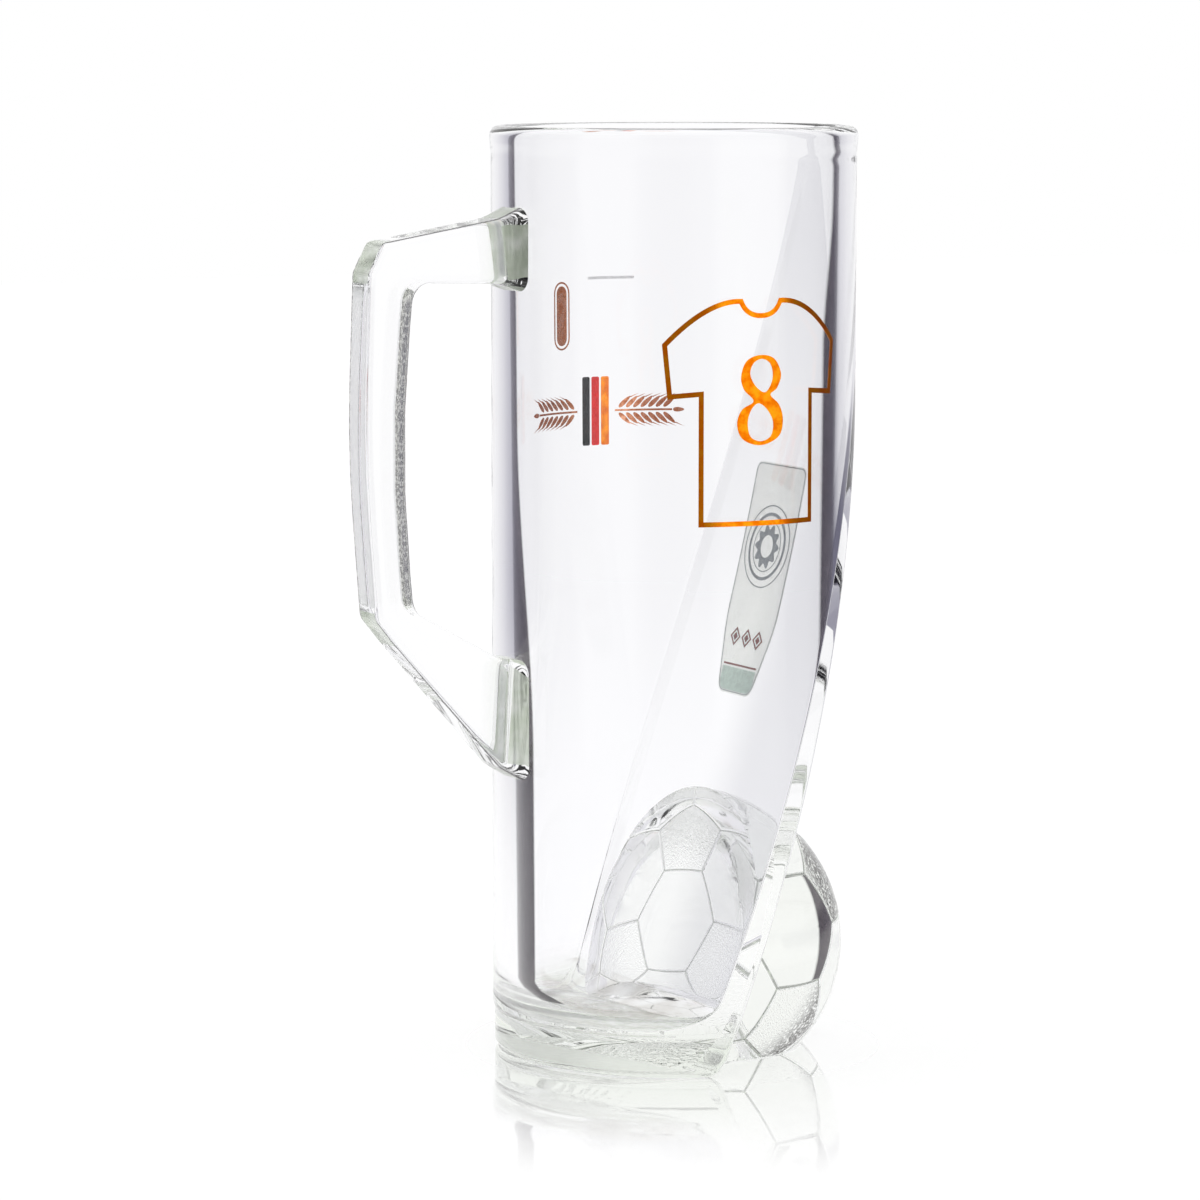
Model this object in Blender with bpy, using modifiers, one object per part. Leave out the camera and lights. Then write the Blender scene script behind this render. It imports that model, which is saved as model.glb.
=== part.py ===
"""A glass beer mug: a tall round cup with one bowed, slanted face, a football moulded on that face at
the foot, a strap handle on the other side, and thin fired prints on the glass.

Metres, +Z up. The origin is where the cup's axis meets the table. The handle points along -X, and the
slanted face and the football along +X."""

import math

import bmesh
import bpy
from mathutils import Matrix

# Cup
BODY_HEIGHT = 0.196
BODY_RADIUS = 0.0385
WALL = 0.0036
RIM_BULGE = 0.0004  # the rim band stands this far out of the wall
RIM_BAND = 0.0053  # height of the rim band
LIP_LAND = 0.0004  # flat ring on top of the rounded lip
FLOOR_HEIGHT = 0.0085  # inner floor above the table
FLOOR_FILLET = 0.009
FOOT_HEIGHT = 0.0088
FOOT_INSET = 0.0004  # the foot is this much smaller than the wall
FOOT_ROUNDING = 0.002

# Slanted face, a bowed curve in the XZ plane that runs straight across the cup
FACE_BELOW_RIM = 0.006  # where it leaves the wall
FACE_FOOT_X = -0.0079  # its distance from the axis at the table
FACE_FOOT_SLOPE = 0.36  # outward run for each unit of height, at the table
FACE_TOP_SLOPE = 0.04  # the same at its top
FACE_WALL = 0.0038
FACE_OVERRUN = 0.00005  # its top ends this far outside the wall

# Football
BALL_RADIUS = 0.0325
BALL_FORWARD = 0.0122  # its centre in front of the slanted face's foot
BALL_CUT = 0.0105  # the table cuts it off by this much
BALL_TURN = math.radians(36)  # one pentagon on top, two below it left and right of the front
SEAM_WIDTH = 0.0014
SEAM_DEPTH = 0.0005

# Handle
HANDLE_REACH = 0.0362  # from the wall to the outer side of the grip
HANDLE_WIDTH = 0.010
HANDLE_EDGE = 0.0024  # rounding of its edges
GRIP_DEPTH = 0.0088
GRIP_BOW = 0.0027  # the middle of the grip stands this far out of its ends
BOW_FULLNESS = 0.7  # 1 would let the bow's arc reach both ends of the grip
GRIP_LENGTH = 0.070
ARM_HEIGHT = 0.0099  # upper arm, measured at the grip
ARM_RISE = 0.0036  # the upper arm's top climbs by this much to the wall
ARM_BELOW_RIM = 0.0177  # top of the upper arm at the wall
SHOULDER = 0.0065  # slanted corner on top of the grip
ELBOW = 0.0055  # slanted corner below the grip
LOWER_ROOT_DROP = 0.033  # bottom of the lower arm at the wall, below the grip
LOWER_ROOT_HEIGHT = 0.0245
PALM_RADIUS = 0.004  # inner corners of the finger gap
ROOT_FLARE = 0.0022  # the arms widen by this much at the wall, but not on top of the lower one
ROOT_FLARE_LENGTH = 0.005

# Prints
FILM = 0.0002
JERSEY_MIDDLE = -0.0008  # its middle line from the cup's, along the wall
JERSEY_BELOW_RIM = 0.0350  # top of the jersey's collar
JERSEY_HEIGHT = 0.0455
JERSEY_WIDTH = 0.0258  # its trunk, along the wall
JERSEY_SPAN = 0.0408  # from sleeve to sleeve
JERSEY_COLLAR = 0.0091
COLLAR_DIP = 0.003
SLEEVE_DROP = 0.0088  # sleeve tip below the collar
SLEEVE_OPENING = 0.0105
LINE_WIDTH = 0.00105
NUMBER_HEIGHT = 0.0185
NUMBER_WIDTH = 0.0107
NUMBER_BELOW_COLLAR = 0.0110
LABEL_BOTTOM = 0.0738
LABEL_HEIGHT = 0.049
LABEL_WIDTH = 0.0208
LABEL_TAPER = 0.0036  # each side draws in by this much towards the bottom
LABEL_KNEE = 0.0150  # height above its bottom where it starts to draw in
LABEL_CORNER = 0.0024
LABEL_MARGIN = 0.0022  # between its motifs
BAND_HEIGHT = 0.0048
BAND_INSET = 0.0006  # the band stays this far inside the label's edge
LOZENGE_WIDTH = 0.0046
LOZENGE_HEIGHT = 0.0040
LOZENGES = 3
ROSETTE_RADIUS = 0.0088
ROSETTE_HOLE = 0.0048
ROSETTE_LOBES = 10
EMBLEM_BELOW_RIM = 0.063  # middle of the far wall's emblem
EAR_LENGTH = 0.0145
EAR_WIDTH = 0.0078
EAR_GRAINS = 7
BAR_WIDTH = 0.0021
BAR_HEIGHT = 0.0150
BAR_SPACING = 0.0005
CAPSULE_ANGLE = math.radians(105)  # round the cup, from +X
CAPSULE_BELOW_RIM = 0.042
CAPSULE_WIDTH = 0.0042
CAPSULE_HEIGHT = 0.0138
CAPSULE_CORNER = 0.0020
FILL_ANGLE = math.radians(84)
FILL_BELOW_RIM = 0.034
FILL_LENGTH = 0.0120
FILL_THICKNESS = 0.0006

# Clearances and mesh fineness
GAP = 0.0003  # between pieces that touch
MARGIN = 0.006  # cutters run past what they cut
TURN_STEPS = 64
ARC_STEP = math.radians(15)
FACE_RESOLUTION = 14

FACE_TOP = BODY_HEIGHT - FACE_BELOW_RIM
EMBLEM_CENTRE = BODY_HEIGHT - EMBLEM_BELOW_RIM
BORE = BODY_RADIUS - WALL
REACH_OUT = BODY_RADIUS + RIM_BULGE + MARGIN  # cutters that pass the whole cup


def clear_scene():
    """Removes every object of the open scene."""
    for obj in list(bpy.data.objects):
        bpy.data.objects.remove(obj, do_unlink=True)


def new_collection(name):
    """A collection of this name, linked to the scene."""
    collection = bpy.data.collections.new(name)
    bpy.context.scene.collection.children.link(collection)
    return collection


def add_object(name, data, collection):
    obj = bpy.data.objects.new(name, data)
    collection.objects.link(obj)
    return obj


def as_cutter(obj):
    """Marks a cutting or guiding solid, which is no part of the mug."""
    obj.hide_render = True
    obj.display_type = "WIRE"
    return obj


def settle(obj, weld=0.0):
    """Replaces an object's data by the mesh its modifiers give, welding vertices this near."""
    depsgraph = bpy.context.evaluated_depsgraph_get()
    mesh = bpy.data.meshes.new_from_object(obj.evaluated_get(depsgraph))
    if weld:
        bm = bmesh.new()
        bm.from_mesh(mesh)
        bmesh.ops.remove_doubles(bm, verts=bm.verts, dist=weld)
        bmesh.ops.recalc_face_normals(bm, faces=bm.faces)
        bm.to_mesh(mesh)
        bm.free()
    mesh.name = obj.name
    if obj.type == "MESH":
        obj.modifiers.clear()
        obj.data = mesh
        return obj
    solid = add_object(obj.name, mesh, obj.users_collection[0])
    solid.matrix_world = obj.matrix_world
    bpy.data.objects.remove(obj)
    solid.name = mesh.name
    return solid


def boolean(obj, operation, *others):
    for other in others:
        modifier = obj.modifiers.new(other.name, "BOOLEAN")
        modifier.operation = operation
        modifier.object = other


def arc(centre, radius, start, end):
    """Points of an arc from one angle to another, both included."""
    count = max(4, math.ceil(abs(end - start) / ARC_STEP))
    angles = [start + (end - start) * i / count for i in range(count + 1)]
    return [(centre[0] + radius * math.cos(a), centre[1] + radius * math.sin(a)) for a in angles]


def rounded(corners):
    """A closed outline through corners (x, y, radius), with an arc at each corner that has a radius."""
    points = []
    for i, (x, y, radius) in enumerate(corners):
        before, after = corners[i - 1], corners[(i + 1) % len(corners)]
        back = math.atan2(before[1] - y, before[0] - x)
        ahead = math.atan2(after[1] - y, after[0] - x)
        opening = (ahead - back + math.pi) % (2 * math.pi) - math.pi
        if radius == 0 or opening == 0:
            points.append((x, y))
            continue
        half = abs(opening) / 2
        middle = back + opening / 2
        reach = radius / math.sin(half)
        centre = (x + reach * math.cos(middle), y + reach * math.sin(middle))
        turn = math.copysign(math.pi / 2 - half, opening)
        points += arc(centre, radius, middle + math.pi + turn, middle + math.pi - turn)
    return points


def mirrored(points):
    """An outline's points on +x, followed by the same points on -x."""
    return points + [(-x, y, *more) for x, y, *more in reversed(points) if x != 0]


def turned(name, profile, collection, closed=False):
    """A solid turned round Z from a profile of (radius, height) points, outer side downwards."""
    count = len(profile)
    edges = [(i, (i + 1) % count) for i in range(count if closed else count - 1)]
    mesh = bpy.data.meshes.new(name)
    mesh.from_pydata([(r, 0, z) for r, z in profile], edges, [])
    obj = add_object(name, mesh, collection)
    screw = obj.modifiers.new("turn", "SCREW")
    screw.steps = screw.render_steps = TURN_STEPS
    screw.use_merge_vertices = True
    screw.merge_threshold = 0.00001
    return settle(obj)


# Columns: where an outline's x, its y and its depth go
UPRIGHT = {
    "XZ": Matrix(((1, 0, 0, 0), (0, 0, -1, 0), (0, 1, 0, 0), (0, 0, 0, 1))),
    "YZ": Matrix(((0, 0, 1, 0), (1, 0, 0, 0), (0, 1, 0, 0), (0, 0, 0, 1))),
}


def flat_solid(name, loops, plane, depth, collection, middle=0.0, edge=0.0, line=0.0, smooth=False):
    """A closed flat solid: outlines in the XZ or YZ plane, a second one inside the first being a hole.

    middle is where its mid plane lies along the third axis, and edge rounds its rims. With a line, only a
    band of that width along the outline is solid. A smooth outline is one soft curve through its points."""
    curve = bpy.data.curves.new(name, "CURVE")
    curve.dimensions = "2D"
    curve.fill_mode = "NONE" if line else "BOTH"
    curve.extrude = depth / 2 - edge
    curve.bevel_depth = edge
    curve.bevel_resolution = 2
    curve.offset = -edge
    curve.resolution_u = 6
    for points in loops:
        spline = curve.splines.new("BEZIER" if smooth else "POLY")
        knots = spline.bezier_points if smooth else spline.points
        knots.add(len(points) - 1)
        for knot, (x, y) in zip(knots, points):
            knot.co = (x, y, 0) if smooth else (x, y, 0, 1)
            if smooth:
                knot.handle_left_type = knot.handle_right_type = "AUTO"
        spline.use_cyclic_u = True
    obj = add_object(name, curve, collection)
    shift = (0, middle, 0) if plane == "XZ" else (middle, 0, 0)
    obj.matrix_world = Matrix.Translation(shift) @ UPRIGHT[plane]
    bpy.context.view_layer.update()
    solid = settle(obj, weld=0.000001)
    if line:
        band = solid.modifiers.new("line", "SOLIDIFY")
        band.thickness = line
        band.offset = 0
        band.use_even_offset = True
        settle(solid)
    return solid


def face_line(top_x, foot_x, low):
    """Points up the slanted face's curve, from the height low to its top."""
    run = FACE_TOP / 3
    knots = (
        (foot_x, 0.0),
        (foot_x + FACE_FOOT_SLOPE * run, run),
        (top_x - FACE_TOP_SLOPE * run, FACE_TOP - run),
        (top_x, FACE_TOP),
    )
    points = []
    for i in range(FACE_RESOLUTION + 1):
        t = i / FACE_RESOLUTION
        weights = ((1 - t) ** 3, 3 * t * (1 - t) ** 2, 3 * t * t * (1 - t), t**3)
        points.append(tuple(sum(w * k[axis] for w, k in zip(weights, knots)) for axis in (0, 1)))
    if low < 0:
        points.insert(0, (foot_x + FACE_FOOT_SLOPE * low, low))
    return points


def beyond_face(name, top_x, foot_x, collection, low=-MARGIN):
    """The space outside a slanted face, as a prism across the whole cup."""
    outline = face_line(top_x, foot_x, low) + [(REACH_OUT, FACE_TOP), (REACH_OUT, low)]
    return as_cutter(flat_solid(name, [outline], "XZ", 2 * REACH_OUT, collection))


def make_cup(parts, cutters):
    """The turned wall, cut by the slanted face and hollowed parallel to it."""
    lip = (WALL + RIM_BULGE - LIP_LAND) / 2
    rim = BODY_RADIUS + RIM_BULGE
    foot = BODY_RADIUS - FOOT_INSET
    outside = [(0, BODY_HEIGHT)]
    outside += arc((rim - lip, BODY_HEIGHT - lip), lip, math.pi / 2, 0)
    outside += [(rim, BODY_HEIGHT - RIM_BAND / 2), (BODY_RADIUS, BODY_HEIGHT - RIM_BAND)]
    outside += [(BODY_RADIUS, FOOT_HEIGHT), (foot, FOOT_HEIGHT - FOOT_INSET)]
    outside += arc((foot - FOOT_ROUNDING, FOOT_ROUNDING), FOOT_ROUNDING, 0, -math.pi / 2)
    outside += [(0, 0)]
    inside = [(0, BODY_HEIGHT + MARGIN), (BORE + lip, BODY_HEIGHT + MARGIN)]
    inside += arc((BORE + lip, BODY_HEIGHT - lip), lip, math.pi / 2, math.pi)
    inside += arc((BORE - FLOOR_FILLET, FLOOR_HEIGHT + FLOOR_FILLET), FLOOR_FILLET, 0, -math.pi / 2)
    inside += [(0, FLOOR_HEIGHT)]
    cup = turned("cup", outside, parts)
    hollow = as_cutter(turned("hollow", inside, cutters))
    outer_face = beyond_face("outer_face", BODY_RADIUS + FACE_OVERRUN, FACE_FOOT_X, cutters)
    inner_face = beyond_face("inner_face", BORE + FACE_OVERRUN, FACE_FOOT_X - FACE_WALL, cutters)
    boolean(hollow, "DIFFERENCE", inner_face)
    boolean(cup, "DIFFERENCE", outer_face, hollow)
    return settle(cup)


def make_football(parts, cutters):
    """A ball of pentagons and hexagons with sunk seams, kept outside the slanted face and above the table."""
    bm = bmesh.new()
    bmesh.ops.create_icosphere(bm, subdivisions=1, radius=BALL_RADIUS)
    third = 100 / 3
    bmesh.ops.bevel(
        bm, geom=bm.verts[:], offset=third, offset_type="PERCENT", segments=1, affect="VERTICES"
    )
    sunk = bm.verts.layers.float.new("sunk")
    for vert in bm.verts:
        vert[sunk] = 1.0
    panels = bm.faces[:]
    bmesh.ops.inset_individual(bm, faces=panels, thickness=SEAM_WIDTH / 2, use_even_offset=True)
    for panel in panels:
        for vert in panel.verts:
            vert[sunk] = 0.0
    bmesh.ops.poke(bm, faces=panels)
    bmesh.ops.subdivide_edges(bm, edges=bm.edges[:], cuts=2, use_grid_fill=True)
    for vert in bm.verts:
        vert.co = vert.co.normalized() * (BALL_RADIUS - SEAM_DEPTH * vert[sunk])
    bmesh.ops.rotate(bm, verts=bm.verts, matrix=Matrix.Rotation(BALL_TURN, 3, "Z"))
    mesh = bpy.data.meshes.new("football")
    bm.to_mesh(mesh)
    bm.free()
    ball = add_object("football", mesh, parts)
    ball.location = (FACE_FOOT_X + BALL_FORWARD, 0, BALL_RADIUS - BALL_CUT)
    bpy.context.view_layer.update()
    front = beyond_face("front", BODY_RADIUS + FACE_OVERRUN + GAP, FACE_FOOT_X + GAP, cutters, low=0)
    boolean(ball, "INTERSECT", front)
    return settle(ball)


def handle_outline():
    """The strap's outline in the XZ plane, from the upper root round the grip to the lower root and back."""
    wall = -(BODY_RADIUS - WALL / 2)
    flare = -(BODY_RADIUS + ROOT_FLARE_LENGTH)
    root_top = BODY_HEIGHT - ARM_BELOW_RIM
    top = root_top - ARM_RISE
    palm_top = top - ARM_HEIGHT
    palm_bottom = palm_top - GRIP_LENGTH
    outer = -(BODY_RADIUS + HANDLE_REACH - GRIP_BOW)
    inner = outer + GRIP_DEPTH
    middle = (palm_top + palm_bottom) / 2
    bow = BOW_FULLNESS * (GRIP_LENGTH / 2) ** 2 / GRIP_BOW
    low = palm_bottom - LOWER_ROOT_DROP
    low_inside = low + LOWER_ROOT_HEIGHT
    return rounded([
        (wall, root_top + ROOT_FLARE, 0),
        (flare, root_top, ROOT_FLARE_LENGTH),
        (outer + SHOULDER, top, PALM_RADIUS),
        (outer, top - SHOULDER, PALM_RADIUS),
        (outer - GRIP_BOW, middle, bow),
        (outer, palm_bottom, PALM_RADIUS),
        (outer + ELBOW, palm_bottom - ELBOW, PALM_RADIUS),
        (flare, low, ROOT_FLARE_LENGTH),
        (wall, low - ROOT_FLARE, 0),
        (wall, low_inside, 0),
        (flare, low_inside, ROOT_FLARE_LENGTH),
        (inner, palm_bottom, PALM_RADIUS),
        (inner - GRIP_BOW, middle, bow),
        (inner, palm_top, PALM_RADIUS),
        (flare, palm_top, ROOT_FLARE_LENGTH),
        (wall, palm_top - ROOT_FLARE, 0),
    ])


def make_handle(parts, cutters):
    """A thick strap with rounded edges, its roots cut to the cup's wall."""
    edge = min(HANDLE_EDGE, 0.45 * HANDLE_WIDTH)
    handle = flat_solid("handle", [handle_outline()], "XZ", HANDLE_WIDTH, parts, edge=edge)
    clear = BODY_RADIUS + GAP
    seat = as_cutter(turned("handle_seat", [(0, BODY_HEIGHT), (clear, BODY_HEIGHT), (clear, 0), (0, 0)], cutters))
    boolean(handle, "DIFFERENCE", seat)
    return settle(handle)


def wall_x(along):
    """How far from the middle plane a point lies that is this far along the wall."""
    radius = BODY_RADIUS + GAP
    return radius * math.sin(along / radius)


def wall_prints(parts, cutters):
    """The films on the round wall: each is a stencil's piece of one thin sleeve."""
    inner = BODY_RADIUS + GAP
    top, bottom = BODY_HEIGHT - RIM_BAND, FOOT_HEIGHT
    profile = [(inner, top), (inner + FILM, top), (inner + FILM, bottom), (inner, bottom)]
    sleeve = as_cutter(turned("sleeve", profile, cutters, closed=True))

    def film(name, loops, side, **options):
        """A film on the near wall, where side is -1, or on the far wall, where it is 1."""
        bent = [[(wall_x(x), z) for x, z in loop] for loop in loops]
        stencil = flat_solid(name, bent, "XZ", REACH_OUT, parts, middle=side * REACH_OUT / 2, **options)
        boolean(stencil, "INTERSECT", sleeve)
        return settle(stencil)

    jersey, number = (
        [[(JERSEY_MIDDLE + x, z) for x, z in loop] for loop in loops]
        for loops in ([jersey_outline()], number_outlines())
    )
    films = [
        film("jersey_outline", jersey, -1, line=LINE_WIDTH),
        film("jersey_number", number, -1, smooth=True),
        film("barley_left", [ear_outline(-1)], 1),
        film("barley_right", [ear_outline(1)], 1),
    ]
    step = BAR_WIDTH + BAR_SPACING
    for place, colour in enumerate(("black", "red", "gold"), start=-1):
        films.append(film(f"bar_{colour}", [box(place * step, EMBLEM_CENTRE, BAR_WIDTH, BAR_HEIGHT)], 1))
    capsule_x = BODY_RADIUS * (math.pi / 2 - CAPSULE_ANGLE)
    capsule = box(capsule_x, BODY_HEIGHT - CAPSULE_BELOW_RIM, CAPSULE_WIDTH, CAPSULE_HEIGHT, CAPSULE_CORNER)
    films.append(film("capsule_mark", [capsule], 1, line=LINE_WIDTH))
    fill_x = BODY_RADIUS * (math.pi / 2 - FILL_ANGLE)
    fill = box(fill_x, BODY_HEIGHT - FILL_BELOW_RIM, FILL_LENGTH, FILL_THICKNESS)
    films.append(film("fill_mark", [fill], 1))
    return films


def box(x, y, width, height, corner=0.0):
    """A rectangle round a centre, with rounded corners."""
    a, b = width / 2, height / 2
    corner = min(corner, 0.98 * a, 0.98 * b)
    return rounded([(x + a, y + b, corner), (x + a, y - b, corner), (x - a, y - b, corner), (x - a, y + b, corner)])


def jersey_outline():
    """Collar, shoulders, sleeves and trunk, as distances along the wall and heights."""
    collar = BODY_HEIGHT - JERSEY_BELOW_RIM
    tip = collar - SLEEVE_DROP
    armpit = tip - SLEEVE_OPENING
    half = JERSEY_WIDTH / 2
    shoulder = (JERSEY_COLLAR + JERSEY_SPAN) / 4
    bend = SLEEVE_DROP / 4
    return rounded(mirrored([
        (0, collar - COLLAR_DIP, JERSEY_COLLAR / 2),
        (JERSEY_COLLAR / 2, collar, 0),
        (shoulder, collar - bend, JERSEY_COLLAR),
        (JERSEY_SPAN / 2, tip, 0),
        (JERSEY_SPAN / 2 - LINE_WIDTH, armpit, 0),
        (half, armpit + LINE_WIDTH / 2, 0),
        (half, collar - JERSEY_HEIGHT, 0),
    ]))


def oval(x, y, width, height, lean):
    """Four knots of a leaning oval."""
    knots = ((0, height / 2), (width / 2, 0), (0, -height / 2), (-width / 2, 0))
    c, s = math.cos(lean), math.sin(lean)
    return [(x + c * a - s * b, y + s * a + c * b) for a, b in knots]


def number_outlines():
    """An eight with thick and thin strokes: its outside and its two counters, as smooth outlines."""
    w, h = NUMBER_WIDTH, NUMBER_HEIGHT
    low = BODY_HEIGHT - JERSEY_BELOW_RIM - NUMBER_BELOW_COLLAR - NUMBER_HEIGHT
    outside = (
        (0, 1), (0.42, 0.78), (0.21, 0.545), (0.5, 0.25), (0, 0), (-0.5, 0.24), (-0.24, 0.53), (-0.42, 0.77),
    )
    lean = math.radians(16)
    return [
        [(x * w, low + y * h) for x, y in outside],
        oval(0.03 * w, low + 0.775 * h, 0.44 * w, 0.36 * h, lean),
        oval(-0.03 * w, low + 0.25 * h, 0.52 * w, 0.38 * h, lean),
    ]


def ear_outline(side):
    """A barley ear that lies along the wall, its stalk beside the bars and its tip outwards."""
    start = 1.5 * BAR_WIDTH + 2 * BAR_SPACING + LINE_WIDTH
    stalk = LINE_WIDTH / 2
    step = EAR_LENGTH / (EAR_GRAINS + 1)
    upper = [(start, stalk)]
    for grain in range(EAR_GRAINS):
        along = start + (grain + 1) * step
        swell = math.sin(math.pi * (grain + 1.5) / (EAR_GRAINS + 1.5))
        upper.append((along, stalk + 0.25 * EAR_WIDTH * swell))
        upper.append((along + 0.85 * step, stalk + (EAR_WIDTH / 2 - stalk) * swell))
    tip = (start + EAR_LENGTH + step, 0)
    points = upper + [tip] + [(x, -z) for x, z in reversed(upper)]
    return [(side * x, EMBLEM_CENTRE + z) for x, z in points]


def face_prints(parts, cutters):
    """The films on the slanted face: a panel, and three smaller ones that lie on it."""
    top = LABEL_BOTTOM + LABEL_HEIGHT
    half = LABEL_WIDTH / 2
    panel = mirrored([
        (half, top, LABEL_CORNER),
        (half, LABEL_BOTTOM + LABEL_KNEE, LABEL_WIDTH),
        (half - LABEL_TAPER, LABEL_BOTTOM, LABEL_CORNER),
    ])
    band_y = LABEL_BOTTOM + BAND_INSET + BAND_HEIGHT / 2
    band_width = LABEL_WIDTH - 2 * LABEL_TAPER - 2 * BAND_INSET
    band = box(0, band_y, band_width, BAND_HEIGHT, LABEL_CORNER)
    row_y = band_y + BAND_HEIGHT / 2 + 2 * LABEL_MARGIN + LOZENGE_HEIGHT / 2
    rosette_y = (top + row_y + LOZENGE_HEIGHT / 2) / 2
    sheets = []
    for level in (0, 1):
        near = GAP + level * (FILM + GAP)
        lines = [
            face_line(BODY_RADIUS + FACE_OVERRUN + away, FACE_FOOT_X + away, 0) for away in (near, near + FILM)
        ]
        outline = lines[0] + lines[1][::-1]
        sheets.append(as_cutter(flat_solid(f"sheet_{level}", [outline], "XZ", 2 * REACH_OUT, cutters)))

    def film(name, loops, level):
        stencil = flat_solid(name, loops, "YZ", REACH_OUT, parts, middle=REACH_OUT / 2)
        boolean(stencil, "INTERSECT", sheets[level])
        return settle(stencil)

    return [
        film("label_panel", [rounded(panel)], 0),
        film("label_band", [band], 1),
        film("label_lozenges", [lozenge_row(row_y)], 1),
        film("label_rosette", rosette(rosette_y), 1),
    ]


def lozenge_row(y):
    """Lozenges strung on one thin line."""
    line = LINE_WIDTH / 4
    upper = []
    for place in range(LOZENGES):
        x = (place - (LOZENGES - 1) / 2) * LOZENGE_WIDTH
        half = LOZENGE_WIDTH / 2 - line
        upper += [(x - half, line), (x, LOZENGE_HEIGHT / 2), (x + half, line)]
    return [(x, y + z) for x, z in upper] + [(x, y - z) for x, z in reversed(upper)]


def rosette(y):
    """A lobed ring: its outside and its round hole."""
    count = 6 * ROSETTE_LOBES
    ripple = (ROSETTE_RADIUS - ROSETTE_HOLE) / 6
    outside, hole = [], []
    for i in range(count):
        a = 2 * math.pi * i / count
        radius = ROSETTE_RADIUS - ripple * (1 - math.cos(ROSETTE_LOBES * a))
        outside.append((radius * math.cos(a), y + radius * math.sin(a)))
        hole.append((ROSETTE_HOLE * math.cos(a), y + ROSETTE_HOLE * math.sin(a)))
    return [outside, hole]


# sRGB colour, roughness, metallic and transmission
FINISHES = {
    "glass": ((0.93, 0.95, 0.93), 0.02, 0.0, 1.0),
    "gold": ((0.90, 0.55, 0.13), 0.25, 1.0, 0.0),
    "copper": ((0.62, 0.32, 0.16), 0.30, 1.0, 0.0),
    "silver": ((0.84, 0.84, 0.83), 0.40, 0.3, 0.0),
    "pale_green": ((0.72, 0.81, 0.75), 0.40, 0.0, 0.0),
    "dark_red": ((0.48, 0.10, 0.09), 0.35, 0.0, 0.0),
    "grey": ((0.55, 0.58, 0.61), 0.40, 0.0, 0.0),
    "black": ((0.04, 0.05, 0.06), 0.35, 0.0, 0.0),
    "red": ((0.85, 0.09, 0.07), 0.35, 0.0, 0.0),
    "white": ((0.90, 0.90, 0.90), 0.45, 0.0, 0.0),
}
PIECE_FINISH = {
    "cup": "glass",
    "football": "glass",
    "handle": "glass",
    "jersey_outline": "gold",
    "jersey_number": "gold",
    "label_panel": "silver",
    "label_band": "pale_green",
    "label_lozenges": "dark_red",
    "label_rosette": "grey",
    "barley_left": "copper",
    "barley_right": "copper",
    "bar_black": "black",
    "bar_red": "red",
    "bar_gold": "gold",
    "capsule_mark": "copper",
    "fill_mark": "white",
}


def linear(value):
    """One sRGB channel as linear light."""
    return value / 12.92 if value <= 0.04045 else ((value + 0.055) / 1.055) ** 2.4


def dress(piece):
    """Gives a piece its own material and smooth shading with sharp edges."""
    colour, roughness, metallic, transmission = FINISHES[PIECE_FINISH[piece.name]]
    material = bpy.data.materials.new(piece.name)
    material.use_nodes = True
    shader = material.node_tree.nodes["Principled BSDF"]
    shader.inputs["Base Color"].default_value = (*map(linear, colour), 1)
    shader.inputs["Roughness"].default_value = roughness
    shader.inputs["Metallic"].default_value = metallic
    shader.inputs["Transmission Weight"].default_value = transmission
    piece.data.materials.clear()
    piece.data.materials.append(material)
    piece.data.shade_smooth()
    piece.data.set_sharp_from_angle(angle=math.radians(35))


def main():
    clear_scene()
    parts = new_collection("beer_mug")
    cutters = new_collection("cutters")
    stand = add_object("mug_origin", None, parts)
    pieces = [make_cup(parts, cutters), make_football(parts, cutters), make_handle(parts, cutters)]
    pieces += wall_prints(parts, cutters) + face_prints(parts, cutters)
    for piece in pieces:
        dress(piece)
        piece.parent = stand


main()
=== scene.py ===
"""A clear glass beer mug on a white sweep: pressed glass cup with a bowed slanted face, a football moulded on
that face at the foot, a strap handle, and fired prints on the wall and on the face.

Metres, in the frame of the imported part: the cup's axis is Z, the handle points along -X, and the slanted face
and the football along +X. The three glass pieces are one body of glass: where they meet, each has a clear
seam that bends no light."""

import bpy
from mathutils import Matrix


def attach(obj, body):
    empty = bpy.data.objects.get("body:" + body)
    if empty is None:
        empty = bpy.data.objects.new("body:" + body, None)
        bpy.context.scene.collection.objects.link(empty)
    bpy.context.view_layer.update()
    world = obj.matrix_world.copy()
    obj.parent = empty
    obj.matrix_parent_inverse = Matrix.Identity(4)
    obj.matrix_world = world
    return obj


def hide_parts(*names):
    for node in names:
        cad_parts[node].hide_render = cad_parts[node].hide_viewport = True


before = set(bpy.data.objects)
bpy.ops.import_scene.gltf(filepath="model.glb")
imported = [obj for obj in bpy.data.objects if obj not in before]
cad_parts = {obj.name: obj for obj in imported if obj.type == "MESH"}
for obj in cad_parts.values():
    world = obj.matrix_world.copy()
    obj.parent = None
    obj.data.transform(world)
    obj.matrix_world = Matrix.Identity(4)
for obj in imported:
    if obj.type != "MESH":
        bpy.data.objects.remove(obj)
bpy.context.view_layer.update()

import math

import bmesh
import bpy
import numpy as np
from bpy.props import FloatProperty, FloatVectorProperty, IntProperty, PointerProperty
from bpy.types import Operator, Panel, PropertyGroup
from mathutils import Matrix, Vector

bl_info = {
    "name": "Glass Beer Mug",
    "version": (1, 0, 0),
    "blender": (4, 5, 0),
    "location": "View3D > Sidebar > Mug",
    "description": "Dresses the packed beer mug in pressed glass and fired prints",
    "category": "Object",
}


def linear(code):
    """An sRGB hex colour as linear red, green and blue."""
    values = [int(code[i:i + 2], 16) / 255 for i in (0, 2, 4)]
    return tuple(v / 12.92 if v <= 0.04045 else ((v + 0.055) / 1.055) ** 2.4 for v in values)


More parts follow.
